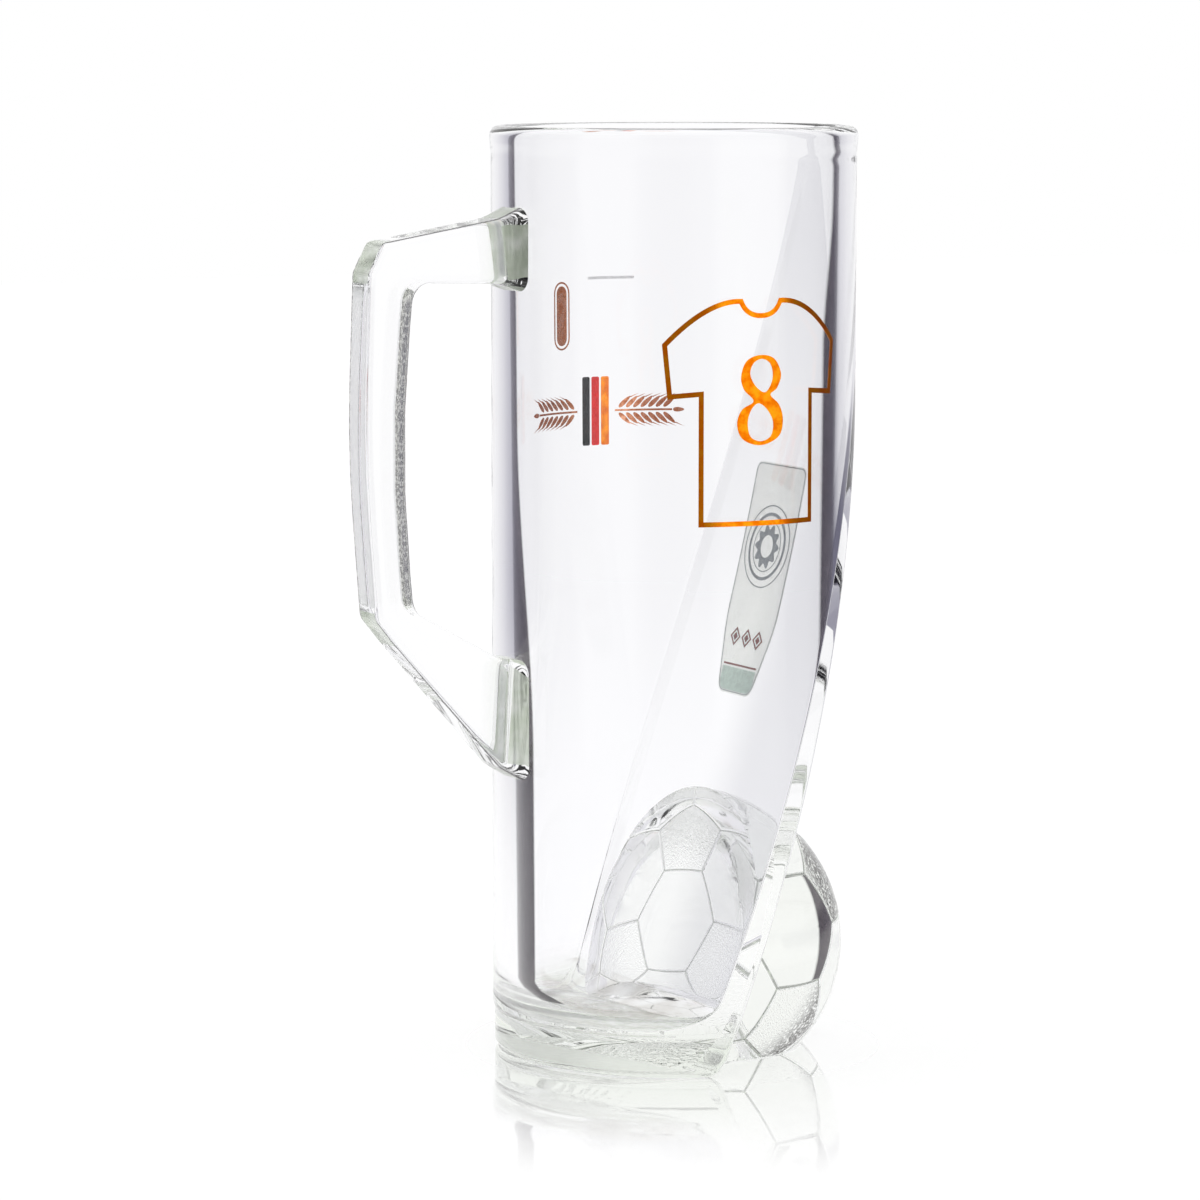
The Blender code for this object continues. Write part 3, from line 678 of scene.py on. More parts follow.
def cup_blank(s):
    """The whole cup as one closed surface, before the football and the handle join it.

    Its faces are of five kinds: outside, hollow, slanted wall inside, floor and underside."""
    rows = cup_rows(s)
    count = ON_FACE + 2 * ON_EDGE + ON_WALL
    rings = [np.column_stack([section(r, f, e), np.full(count, z)]) for z, r, f, e in rows]
    edge = rings[-1]
    for k in range(1, FLOOR_RINGS + 1):
        ring = edge + (edge.mean(0) - edge) * k / (FLOOR_RINGS + 1)
        x, y = ring[:, 0], ring[:, 1]
        # Two crossing swells some 14 and 10 mm long, the first one bent
        swell = np.sin(430 * x + 160 * y + 1.5 * np.sin(260 * y)) + 0.6 * np.sin(300 * y - 520 * x)
        ring[:, 2] += s.floor_swell * swell * float(smooth(0, 5, k))
        rings.append(ring)
    points = np.concatenate(rings + [rings[0].mean(0)[None], rings[-1].mean(0)[None]])
    under, floor = len(points) - 2, len(points) - 1
    last = under - count
    faces = []
    for i in range(len(rings) - 1):
        faces += band_faces(i * count, (i + 1) * count, count)
    faces += [(under, (j + 1) % count, j) for j in range(count)]
    faces += [(floor, last + j, last + (j + 1) % count) for j in range(count)]
    heights = [row[0] for row in rows] + [s.floor] * (FLOOR_RINGS - 1)
    lip = int(np.argmax(heights))
    outside, hollow, slanted, floor_kind, underside = range(5)
    kinds = []
    for i, z in enumerate(heights):
        if i <= lip:
            kinds += [outside] * count
        elif z < s.floor + 0.75 * s.floor_fillet:
            kinds += [floor_kind] * count
        else:
            kinds += [slanted] * ON_FACE + [hollow] * (count - ON_FACE)
    kinds += [underside] * count + [floor_kind] * count
    return new_mesh("cup_blank", points, faces, kinds)


def panel_corners():
    """The football's panels as lists of corner directions: twelve pentagons, then twenty hexagons.

    One pentagon is on top, and the ring below it has gaps at the front and none behind."""
    ring_height = 1 / math.sqrt(5)
    ring = 2 * ring_height
    knots = [Vector((0, 0, 1))]
    for z, start in ((ring_height, 36), (-ring_height, 0)):
        for k in range(5):
            a = math.radians(start + 72 * k)
            knots.append(Vector((ring * math.cos(a), ring * math.sin(a), z)))
    knots.append(Vector((0, 0, -1)))
    near = {i: [j for j in range(12) if j != i and (knots[i] - knots[j]).length < 1.1] for i in range(12)}

    def between(i, j):
        return (knots[i] + (knots[j] - knots[i]) / 3).normalized()

    def in_turn(corners):
        middle = sum(corners, Vector()).normalized()
        across = (corners[0] - middle * corners[0].dot(middle)).normalized()
        up = middle.cross(across)
        return sorted(corners, key=lambda c: math.atan2(c.dot(up), c.dot(across)))

    pentagons = [in_turn([between(i, j) for j in near[i]]) for i in range(12)]
    hexagons = []
    for i in range(12):
        for j in near[i]:
            for k in near[i]:
                if i < j < k and k in near[j]:
                    pairs = ((i, j), (j, i), (j, k), (k, j), (k, i), (i, k))
                    hexagons.append(in_turn([between(a, b) for a, b in pairs]))
    return pentagons, hexagons


def ball_blank(s):
    """The whole ball: panels with sunk seams. The pentagons in front take the second material, the seams the
    third and one panel on each side the fourth."""
    pentagons, hexagons = panel_corners()
    from_seam = np.array([0, 0.12, 0.24, 0.36, 0.5, 0.65, 0.85, 1.3, 2.2, 3.6, 5.4, 7.4]) / 1000
    along = 14  # points on each side of a panel
    points, faces, kinds = [], [], []
    for stippled, panels in ((True, pentagons), (False, hexagons)):
        for corners in panels:
            corners = np.array(corners)
            middle = corners.mean(0)
            beside = not stippled and 0.1 < middle[0] < 0.45 and 0 < middle[2] < 0.4
            kind = 1 if stippled and middle[0] > 0.2 else 3 if beside else 0
            inner_radius = s.radius * np.linalg.norm((corners[0] + corners[1]) / 2 - middle)
            t = (np.arange(along) / along)[:, None]
            edge = np.concatenate([a + t * (b - a) for a, b in zip(corners, np.roll(corners, -1, 0))])
            sides = np.cross(corners, np.roll(corners, -1, 0))
            sides /= np.linalg.norm(sides, axis=1)[:, None]
            count, first = len(edge), len(points)
            rings = [middle + (edge - middle) * (1 - d / inner_radius) for d in from_seam]
            cloud = np.concatenate(rings + [middle[None]])
            cloud /= np.linalg.norm(cloud, axis=1)[:, None]
            away = s.radius * np.arcsin(np.clip(cloud @ sides.T, 0, 1)).min(1)
            sunk = s.seam_depth * np.clip(1 - (away / s.seam_half) ** 2, 0, 1) ** 2
            points += list(cloud * (s.radius - sunk)[:, None])
            for i in range(len(rings) - 1):
                faces += band_faces(first + i * count, first + (i + 1) * count, count)
            centre = first + len(cloud) - 1
            last = centre - count
            faces += [(last + j, last + (j + 1) % count, centre) for j in range(count)]
            kinds += [2] * (2 * count) + [kind] * (len(faces) - len(kinds) - 2 * count)
    centred = np.array(points) + (s.forward, 0, s.rise)
    return face_outwards(new_mesh("ball_blank", centred, faces, kinds), WELD)


def front_block(s, ball):
    """The space in front of the slanted face, from half way into its wall: what is kept of the ball."""
    heights = np.linspace(0.00005, ball.rise + 1.2 * ball.radius, 40)
    line = [(float(face_x(z, s.radius, s.face_foot, s.face_top)) - s.face_wall / 2, z) for z in heights]
    far = s.radius + ball.radius
    outline = line + [(far, heights[-1]), (far, heights[0])]
    count = len(outline)
    points = [(x, y, z) for y in (-far, far) for x, z in outline]
    faces = [tuple(range(count)), tuple(range(2 * count - 1, count - 1, -1))]
    faces += [(j, j + count, (j + 1) % count + count, (j + 1) % count) for j in range(count)]
    return face_outwards(new_mesh("front_block", points, faces))


def rounded_line(corners, step=math.radians(7)):
    """An open line through corners (x, z, radius), with an arc at each corner that has a radius."""
    points = [corners[0][:2]]
    for before, (x, z, radius), after in zip(corners, corners[1:], corners[2:]):
        back = math.atan2(before[1] - z, before[0] - x)
        ahead = math.atan2(after[1] - z, after[0] - x)
        opening = (ahead - back + math.pi) % (2 * math.pi) - math.pi
        half, middle = abs(opening) / 2, back + opening / 2
        reach = radius / math.sin(half)
        centre = (x + reach * math.cos(middle), z + reach * math.sin(middle))
        turn = math.copysign(math.pi / 2 - half, opening)
        count = max(3, math.ceil(abs(2 * turn) / step))
        for i in range(count + 1):
            a = middle + math.pi + turn - 2 * turn * i / count
            points.append((centre[0] + radius * math.cos(a), centre[1] + radius * math.sin(a)))
    points.append(corners[-1][:2])
    return np.array(points)


def walk(line, knots, counts):
    """Points along a line that pass the places nearest to the knots, with these counts between them."""
    steps = np.linalg.norm(np.diff(line, axis=0), axis=1)
    far = np.concatenate([[0], np.cumsum(steps)])
    fine = np.linspace(0, far[-1], 4000)
    dense = np.stack([np.interp(fine, far, line[:, k]) for k in (0, 1)], 1)
    stops = [fine[np.argmin(((dense - np.array(k)) ** 2).sum(1))] for k in knots]
    stops = [0] + stops + [far[-1]]
    places = [0.0]
    for a, b, n in zip(stops, stops[1:], counts):
        places += list(np.linspace(a, b, n + 1)[1:])
    return np.stack([np.interp(places, far, line[:, k]) for k in (0, 1)], 1)


# Sides of the strap
PALM, FAR, OUTER, NEAR, EDGE = range(5)


def strap_ring(depth, wide, edge):
    """Points round a section of the strap, as (towards the palm, across), and the side each run lies on."""
    quarter = np.radians(15 * np.arange(7))
    arcs = []
    for n, (d, y) in enumerate(((1, -1), (1, 1), (-1, 1), (-1, -1))):
        turn = quarter + math.radians(90 * (n - 1))
        deep, across = d * (depth - edge) + edge * np.cos(turn), y * (wide - edge) + edge * np.sin(turn)
        arcs.append(np.stack([deep, across], 1))
    ring, sides = [], []
    # Of an edge's six faces, this many at its end and at its start are left rough like the palm
    rough = {PALM: (3, 0), FAR: (0, 3), OUTER: (6, 0), NEAR: (0, 0)}
    for side, steps in ((PALM, 6), (FAR, 10), (OUTER, 6), (NEAR, 10)):
        start, end = arcs[side][-1], arcs[(side + 1) % 4][0]
        t = (np.arange(1, steps) / steps)[:, None]
        ring += [arcs[side], start + t * (end - start)]
        into, out = rough[side]
        sides += [PALM] * out + [EDGE] * (6 - into - out) + [PALM] * into + [side] * steps
    return np.concatenate(ring), sides


def strap_blank(s, cup):
    """The strap, lofted along its way from the upper root round the grip to the lower root.

    The grip's palm side takes the second material, the roots and outer corners the third, and the rounded
    edges the fourth. Both ends lie inside the cup's wall. Corners and knots are in millimetres."""
    mm = 0.001
    in_wall = -(cup.radius - cup.wall / 2) / mm
    outer = [
        (in_wall, 180.2, 0), (-43.0, 177.3, 9), (-69.7, 172.8, 1.8), (-72.8, 166.6, 2.4), (-74.2, 130.0, 260),
        (-71.6, 95.6, 2.6), (-67.6, 90.6, 2.2), (-43.2, 63.0, 5), (in_wall, 59.2, 0),
    ]
    palm = [
        (in_wall, 161.6, 0), (-43.0, 163.9, 9), (-62.6, 164.4, 4.2), (-66.2, 130.0, 260), (-63.0, 97.2, 4.6),
        (-43.5, 86.2, 9), (in_wall, 85.2, 0),
    ]
    counts = (22, 16, 40, 16, 34)
    outer_knots = [(-67.6, 173.2), (-72.8, 164.6), (-71.8, 97.0), (-67.0, 90.0)]
    palm_knots = [(-58.4, 164.3), (-62.9, 159.8), (-63.5, 101.0), (-60.0, 95.6)]
    outer_line = mm * walk(rounded_line(outer), outer_knots, counts)
    palm_line = mm * walk(rounded_line(palm), palm_knots, counts)
    rows, at_root = [], []
    for (ox, oz), (px, pz) in zip(outer_line, palm_line):
        middle = np.array([ox + px, oz + pz]) / 2
        deep = np.array([px - ox, pz - oz]) / 2
        depth = np.linalg.norm(deep)
        from_wall = np.clip((-middle[0] - cup.radius) / s.flare_length, 0, 1)
        flare = s.flare * (1 - from_wall) ** 1.4
        ring, sides = strap_ring(depth, s.width / 2 + flare, s.edge + flare)
        flat = middle + ring[:, :1] * deep / depth
        rows.append(np.stack([flat[:, 0], ring[:, 1], flat[:, 1]], 1))
        at_root.append(from_wall < 0.9)
    count = len(sides)
    points = np.concatenate(rows)
    bends = [sum(counts[:k]) for k in range(1, 5)]
    rough = range(bends[0] + counts[1] // 2, bends[2] + counts[3] // 2)
    faces, kinds = [], []
    for i in range(len(rows) - 1):
        faces += band_faces(i * count, (i + 1) * count, count)
        corner = bends[0] <= i < bends[1] or bends[2] <= i < bends[3]
        for side in sides:
            dull = side != EDGE and at_root[i] or side == OUTER and corner
            rounded = 3 if side == EDGE else 0
            kinds.append(2 if dull else 1 if side == PALM and i in rough else rounded)
    faces.append(tuple(range(count - 1, -1, -1)))
    faces.append(tuple(range(len(points) - count, len(points))))
    return face_outwards(new_mesh("strap_blank", points, faces, kinds + [0, 0]))


def combined(name, mesh, operation, other):
    """The mesh that two solids give together. Each face keeps its own solid's material."""
    first, second = new_object(name, mesh), new_object("tool", other)
    modifier = first.modifiers.new(operation, "BOOLEAN")
    modifier.operation = operation
    modifier.object = second
    modifier.solver = "EXACT"
    modifier.material_mode = "TRANSFER"
    result = bpy.data.meshes.new_from_object(first.evaluated_get(bpy.context.evaluated_depsgraph_get()))
    bpy.data.objects.remove(first)
    bpy.data.objects.remove(second)
    if not result.polygons:
        raise RuntimeError(f"{name}: {operation} left nothing")
    return result


def faces_of(mesh, materials):
    """A copy of a mesh with only the faces of these materials."""
    bm = bmesh.new()
    bm.from_mesh(mesh)
    others = [f for f in bm.faces if mesh.materials[f.material_index] not in materials]
    bmesh.ops.delete(bm, geom=others, context="FACES")
    kept = mesh.copy()
    bm.to_mesh(kept)
    bm.free()
    return kept


def finish_glass(name, meshes, materials, seam_of):
    """One piece from meshes, sharp where they turn. Faces of a material in seam_of take the seam."""
    bm = bmesh.new()
    for mesh, as_seam in meshes:
        start = len(bm.faces)
        bm.from_mesh(mesh)
        bm.faces.ensure_lookup_table()
        for face in bm.faces[start:]:
            material = mesh.materials[face.material_index]
            seam = as_seam or material in seam_of
            face.material_index = len(materials) if seam else materials.index(material)
    bmesh.ops.remove_doubles(bm, verts=bm.verts, dist=WELD)
    bmesh.ops.dissolve_degenerate(bm, edges=bm.edges, dist=WELD / 2)
    for face in bm.faces:
        face.smooth = True
    sharp = math.radians(32)
    for edge in bm.edges:
        if len(edge.link_faces) == 2:
            edge.smooth = edge.calc_face_angle(0) < sharp
    mesh = bpy.data.meshes.new(name)
    bm.to_mesh(mesh)
    bm.free()
    for material in (*materials, bpy.data.materials["fused_glass_seam"]):
        mesh.materials.append(material)
    return mesh


class MUG_OT_press_glass(Operator):
    """Presses cup, football and handle as one body of glass, parted at clear seams"""

    bl_idname = "mug.press_glass"
    bl_label = "Press Glass"

    def execute(self, context):
        scene = context.scene
        colours = scene.mug_colours
        own = [kind(colours) for kind in (cup_glass, hollow_glass, face_glass, floor_glass, underside_glass)]
        straps = [kind(colours) for kind in (handle_glass, grip_glass, dull_glass, edge_glass)]
        panels = [kind(colours) for kind in (ball_glass, stippled_glass, seam_glass, side_glass)]
        seam_material()
        cup = cup_blank(scene.mug_cup)
        ball = ball_blank(scene.mug_ball)
        block = front_block(scene.mug_cup, scene.mug_ball)
        loop = strap_blank(scene.mug_handle, scene.mug_cup)
        for mesh, materials in ((cup, own), (ball, panels), (block, panels[:1]), (loop, straps)):
            for material in materials:
                mesh.materials.append(material)
        ball = combined("ball", ball, "INTERSECT", block)
        football = combined("football", ball, "DIFFERENCE", cup)
        handle = combined("handle", loop, "DIFFERENCE", cup)
        outside = combined("cup", combined("cup", cup, "DIFFERENCE", ball), "DIFFERENCE", loop)
        under = [combined("cup", cup, "INTERSECT", other) for other in (ball, loop)]
        shell = [(faces_of(outside, own), False)] + [(faces_of(m, own), True) for m in under]
        pieces = (
            ("cup_glass", shell, own, (), "cup"),
            ("football_glass", [(football, False)], panels, own, "football"),
            ("handle_glass", [(handle, False)], straps, own, "handle"),
        )
        for name, meshes, materials, seam_of, node in pieces:
            mesh = finish_glass(name, meshes, materials, seam_of)
            place_piece(new_object(name, mesh), "clear_glass", node)
        return {"FINISHED"}


# Prints

INK_IOR = 1.2  # low, so that an ink hardly bends what shows through it


def fired_print(name, colours, grain_mm, metallic, roughness, wear, clear=0.0):
    """A print fired on glass: two tones of it in mottles of this grain, and a finish that varies a little.
    The film is thin, so an ink lets some of the light from behind through."""
    material, tree, shader = new_material(name)
    position = add_node(tree, "ShaderNodeTexCoord").outputs["Object"]
    patches = add_node(tree, "ShaderNodeTexNoise", None, {
        "Vector": position, "Scale": per_mm(grain_mm), "Detail": 4.0, "Roughness": 0.6,
    }).outputs[0]
    spread = fall(tree, patches, 0.66, 0.34)
    tone = add_node(tree, "ShaderNodeMix", {"data_type": "RGBA"}, {
        "Factor": spread, 6: (*colours[0], 1), 7: (*colours[1], 1),
    })
    tree.links.new(tone.outputs[2], shader.inputs["Base Color"])
    polish = add_node(tree, "ShaderNodeMapRange", None, {
        "Value": patches, "From Min": 0.3, "From Max": 0.7, "To Min": roughness, "To Max": roughness + wear,
    })
    tree.links.new(polish.outputs["Result"], shader.inputs["Roughness"])
    ripple(tree, shader, position, 0.35, 0.005)
    set_inputs(shader, metallic=metallic, transmission_weight=clear, specular_ior_level=0.3)
    if clear:
        shader.inputs["IOR"].default_value = INK_IOR
    return material


def gold_lustre(colours):
    """Bright gold, screen printed and fired: a mirror skin of metal, deeper where it lies thicker."""
    return fired_print("gold_lustre_fired", (colours.gold, colours.gold_deep), 2.4, 1.0, 0.16, 0.1)


def copper_lustre(colours):
    """Copper lustre, printed and fired: a rosy metal skin with darker mottles."""
    return fired_print("copper_lustre_fired", (colours.copper, colours.copper_deep), 1.4, 1.0, 0.2, 0.16)


def silver_ink(colours):
    """Pale silver ink, screen printed: fine mica in a matt binder, almost grey."""
    tones = (colours.silver, colours.silver_deep)
    return fired_print("silver_ink_screen_printed", tones, 0.6, 0.0, 0.5, 0.12, 0.85)


def enamel_ink(name, tone, clear=0.5):
    """Ceramic enamel, screen printed and fired: slightly glossy, with faint mottles, and it glows a little
    against the light."""
    tones = (tuple(tone), tuple(0.8 * c for c in tone))
    return fired_print(name, tones, 0.9, 0.0, 0.3, 0.14, clear)


def filled(loops, steps):
    """A flat mesh that fills outlines, where a loop in a loop is a hole, cut on both axes at these steps."""
    curve = bpy.data.curves.new("outline", "CURVE")
    curve.dimensions, curve.fill_mode = "2D", "BOTH"
    for loop in loops:
        spline = curve.splines.new("POLY")
        spline.points.add(len(loop) - 1)
        spline.points.foreach_set("co", [v for x, z in loop for v in (x, z, 0, 1)])
        spline.use_cyclic_u = True
    obj = new_object("outline", curve)
    flat = bpy.data.meshes.new_from_object(obj.evaluated_get(bpy.context.evaluated_depsgraph_get()))
    bpy.data.objects.remove(obj)
    bm = bmesh.new()
    bm.from_mesh(flat)
    bmesh.ops.remove_doubles(bm, verts=bm.verts, dist=WELD / 2)
    for axis, step in enumerate(steps):
        places = [v.co[axis] for v in bm.verts]
        for k in range(math.ceil(min(places) / step), math.floor(max(places) / step) + 1):
            at, across = Vector(), Vector()
            at[axis], across[axis] = k * step, 1
            geometry = bm.verts[:] + bm.edges[:] + bm.faces[:]
            bmesh.ops.bisect_plane(bm, geom=geometry, dist=WELD / 4, plane_co=at, plane_no=across)
    return bm


def film(name, patches, place, levels, steps):
    """A thin closed film: patches of loops, laid by place(x, z, lift) between two lifts off the glass."""
    points, faces = [], []
    for loops in patches:
        bm = filled(loops, steps)
        bm.verts.index_update()
        first, count = len(points), len(bm.verts)
        for lift in levels:
            points += [place(v.co.x, v.co.y, lift) for v in bm.verts]
        for face in bm.faces:
            ring = [v.index + first for v in face.verts]
            faces += [[i + count for i in ring], ring[::-1]]
        for edge in bm.edges:
            if len(edge.link_faces) == 1:
                a, b = (v.index + first for v in edge.verts)
                faces.append([a, b, b + count, a + count])
        bm.free()
    mesh = face_outwards(new_mesh(name, points, faces))
    mesh.set_sharp_from_angle(angle=math.radians(40))
    return mesh


def print_films(prints, place, steps):
    """Makes films, each from its node, its patches, its ink, its slot and the two lifts it lies between."""
    for node, patches, ink, slot, levels in prints:
        mesh = film(f"{node}_print", patches, place, levels, steps)
        mesh.materials.append(ink)
        place_piece(new_object(mesh.name, mesh), slot, node)


def on_wall(cup, side):
    """Lays a print round the wall, on the near side (-1) or the far side (1)."""

    def place(along, z, lift):
        a, r = along / cup.radius, cup.radius + lift
        return (r * math.sin(a), side * r * math.cos(a), z)

    return place


def on_face(cup):
    """Lays a print on the slanted face."""

    def place(across, z, lift):
        step = 0.0005  # a short way up, which gives the slope
        x, above = (float(face_x(h, cup.radius, cup.face_foot, cup.face_top)) for h in (z, z + step))
        away = Vector((step, 0, x - above)).normalized() * lift
        return (x + away.x, across, z + away.z)

    return place


def bend(start, pull, end, count):
    """Points of a curve from start to end that is pulled towards a third point; start is left out."""
    t = (np.arange(1, count + 1) / count)[:, None]
    a, b, c = np.array(start), np.array(pull), np.array(end)
    return [tuple(p) for p in (1 - t) ** 2 * a + 2 * t * (1 - t) * b + t**2 * c]


def both_sides(half):
    """A closed outline from its right half, which runs down from the middle line."""
    return half + [(-x, z) for x, z in reversed(half) if x > WELD / 2]


def inside(loop, distance):
    """The outline that runs this far inside another."""
    points = np.array(loop)
    turns = np.roll(points, -1, 0)
    area = np.sum(points[:, 0] * turns[:, 1] - turns[:, 0] * points[:, 1])
    ahead = turns - points
    ahead /= np.linalg.norm(ahead, axis=1)[:, None]
    normal = math.copysign(1, area) * np.stack([-ahead[:, 1], ahead[:, 0]], 1)
    before = np.roll(normal, 1, 0)
    middle = (normal + before) / (1 + np.sum(normal * before, 1))[:, None]
    return [tuple(p) for p in points + distance * middle]


def spline_loop(knots, count=14):
    """A smooth closed outline through knots."""
    k = np.array(knots)
    before, after, second = np.roll(k, 1, 0), np.roll(k, -1, 0), np.roll(k, -2, 0)
    loop = []
    for p0, p1, p2, p3 in zip(before, k, after, second):
        for t in np.arange(count) / count:
            square, cube = 2 * p0 - 5 * p1 + 4 * p2 - p3, 3 * p1 - p0 - 3 * p2 + p3
            loop.append(tuple(0.5 * (2 * p1 + (p2 - p0) * t + square * t**2 + cube * t**3)))
    return loop


def soft_box(x, z, width, height, corner):
    """A box with rounded corners."""
    loop = []
    for sx, sz, start in ((1, 1, 0), (-1, 1, 90), (-1, -1, 180), (1, -1, 270)):
        for i in range(7):
            a = math.radians(start + 15 * i)
            cx, cz = x + sx * (width / 2 - corner), z + sz * (height / 2 - corner)
            loop.append((cx + corner * math.cos(a), cz + corner * math.sin(a)))
    return loop


def circle(x, z, radius, count=64, lobes=0, dip=0.0):
    """A round outline, or one with lobes."""
    turns = 2 * math.pi * np.arange(count) / count
    radii = radius - dip * (1 - np.cos(lobes * turns))
    return [(x + r * math.cos(a), z + r * math.sin(a)) for r, a in zip(radii, turns)]


def jersey_loops(s, cup):
    """The jersey's line: collar, round shoulders, sleeves and a straight trunk."""
    collar = cup.height - s.jersey_below_rim
    neck, tip = s.jersey_collar / 2, (s.jersey_span / 2, collar - s.sleeve_drop)
    armpit = tip[1] - s.sleeve_opening
    side, bow = s.jersey_width / 2, 0.0004  # half the trunk, and how far the shoulder line bows up
    half = [(0, collar - s.collar_dip)]
    half += bend(half[0], (0.75 * neck, collar - s.collar_dip), (neck, collar), 8)
    half += bend(half[-1], (neck + 0.45 * (tip[0] - neck), collar + bow), tip, 16)
    half += [(tip[0] - s.line, armpit), (side, armpit + s.line / 2), (side, collar - s.jersey_height)]
    outline = both_sides(half)
    return [inside(outline, -s.line / 2), inside(outline, s.line / 2)]


def number_loops(s, cup):
    """An eight with a heavy stroke that crosses from top left to bottom right."""
    w, h = s.number_width, s.number_height
    low = cup.height - s.jersey_below_rim - s.number_below_collar - h
    outside = (
        (0.00, 1.0), (0.30, 0.95), (0.45, 0.78), (0.36, 0.63), (0.21, 0.555), (0.41, 0.44), (0.5, 0.27),
        (0.40, 0.09), (0.0, 0.0), (-0.38, 0.07), (-0.5, 0.24), (-0.40, 0.40), (-0.16, 0.49), (-0.36, 0.62),
        (-0.42, 0.77), (-0.30, 0.94),
    )
    upper = (
        (0.02, 0.955), (0.2, 0.90), (0.26, 0.77), (0.2, 0.65), (0.07, 0.585), (-0.12, 0.66), (-0.23, 0.79),
        (-0.16, 0.91),
    )
    lower = (
        (-0.05, 0.465), (0.14, 0.39), (0.27, 0.25), (0.22, 0.1), (0.0, 0.045), (-0.22, 0.1), (-0.28, 0.26),
        (-0.2, 0.40),
    )
    return [spline_loop([(x * w, low + z * h) for x, z in knots], 6) for knots in (outside, upper, lower)]


def grain(x, z, lean, long, wide):
    """One barley grain: a lens that leans from the stalk, with its tip drawn out."""
    turns = 2 * math.pi * np.arange(14) / 14
    c, s = math.cos(lean), math.sin(lean)
    loop = []
    for a in turns:
        u = long * (0.5 - 0.5 * math.cos(a))
        v = wide / 2 * math.sin(a) * (1.15 - 0.5 * u / long)
        loop.append((x + c * u - s * v, z + s * u + c * v))
    return loop


def ear_patches(s, cup, side):
    """A barley ear along the wall: stalk, pairs of grains with their awns, and one grain at the tip."""
    middle = cup.height - s.emblem_below_rim
    start = 1.5 * s.bar_width + 2 * s.bar_gap + s.line
    pitch = s.ear_length / (s.grains + 1)
    thin = 0.12 * pitch
    tip = start + s.ear_length - 0.3 * pitch
    patches = [[[(start, -thin), (tip, -thin), (tip, thin), (start, thin)]]]
    lean, long, wide = math.radians(40), 2.05 * pitch, 0.62 * pitch
    # How far off the stalk a grain starts, and how far along the grain its awn does
    root, reach = 0.34 * pitch, 0.97 * long
    for k in range(s.grains):
        at = start + (k + 0.55) * pitch
        for way in (1, -1):
            patches.append([grain(at, way * root, way * lean, long, wide)])
            end = (at + reach * math.cos(lean), way * (root + reach * math.sin(lean)))
            far = (end[0] + 0.6 * long, end[1] + way * 0.2 * long)
            patches.append([[end, (end[0] + 0.1 * pitch, end[1] - way * 0.12 * pitch), far]])
    patches.append([grain(tip + 0.1 * pitch, 0, 0, 1.5 * pitch, wide)])
    return [[[(side * x, middle + z) for x, z in loop] for loop in patch] for patch in patches]


# Films are cut at these steps, along or across and up, so that they follow the glass
WALL_STEPS, FACE_STEPS = (0.001, 0.004), (0.004, 0.002)


class MUG_OT_jersey(Operator):
    """Prints the jersey's line and its number on the near wall"""

    bl_idname = "mug.jersey"
    bl_label = "Jersey"

    def execute(self, context):
        scene = context.scene
        s, cup = scene.mug_prints, scene.mug_cup
        gold = gold_lustre(scene.mug_colours)
        levels = (s.stand_off, s.stand_off + s.film)
        prints = []
        for node, outlines in (("jersey_outline", jersey_loops), ("jersey_number", number_loops)):
            loops = [[(s.jersey_middle + x, z) for x, z in loop] for loop in outlines(s, cup)]
            prints.append((node, [loops], gold, "gold_print", levels))
        print_films(prints, on_wall(cup, -1), WALL_STEPS)
        return {"FINISHED"}


class MUG_OT_wall_prints(Operator):
    """Prints ears, bars, capsule and fill mark on the far wall"""

    bl_idname = "mug.wall_prints"
    bl_label = "Far Wall Prints"

    def execute(self, context):
        scene = context.scene
        s, cup, colours = scene.mug_prints, scene.mug_cup, scene.mug_colours
        copper, gold = copper_lustre(colours), bpy.data.materials["gold_lustre_fired"]
        black = enamel_ink("black_enamel_fired", colours.black, 0.0)
        red = enamel_ink("red_enamel_fired", colours.red, 0.0)
        frost = enamel_ink("white_enamel_fired", colours.frost)
        levels = (s.stand_off, s.stand_off + s.film)
        middle = cup.height - s.emblem_below_rim
        prints = [
            ("barley_left", ear_patches(s, cup, -1), copper, "copper_print", levels),
            ("barley_right", ear_patches(s, cup, 1), copper, "copper_print", levels),
        ]
        for place, (tone, ink) in enumerate((("black", black), ("red", red), ("gold", gold)), start=-1):
            bar = soft_box(place * (s.bar_width + s.bar_gap), middle, s.bar_width, s.bar_height, s.bar_corner)
            prints.append((f"bar_{tone}", [[bar]], ink, f"{tone}_print", levels))
        x, z = cup.radius * (math.pi / 2 - s.capsule_turn), cup.height - s.capsule_below_rim
        wide = s.capsule_width + s.line
        rim = soft_box(x, z, wide, s.capsule_height + s.line, 0.49 * wide)
        capsule = [[rim, inside(rim, 0.38 * s.line)], [inside(rim, 0.9 * s.line)]]
        prints.append(("capsule_mark", capsule, copper, "copper_print", levels))
        x, z = cup.radius * (math.pi / 2 - s.fill_turn), cup.height - s.fill_below_rim
        mark = soft_box(x, z, s.fill_length, s.fill_height, 0.45 * s.fill_height)
        prints.append(("fill_mark", [[mark]], frost, "white_print", levels))
        print_films(prints, on_wall(cup, 1), WALL_STEPS)
        return {"FINISHED"}


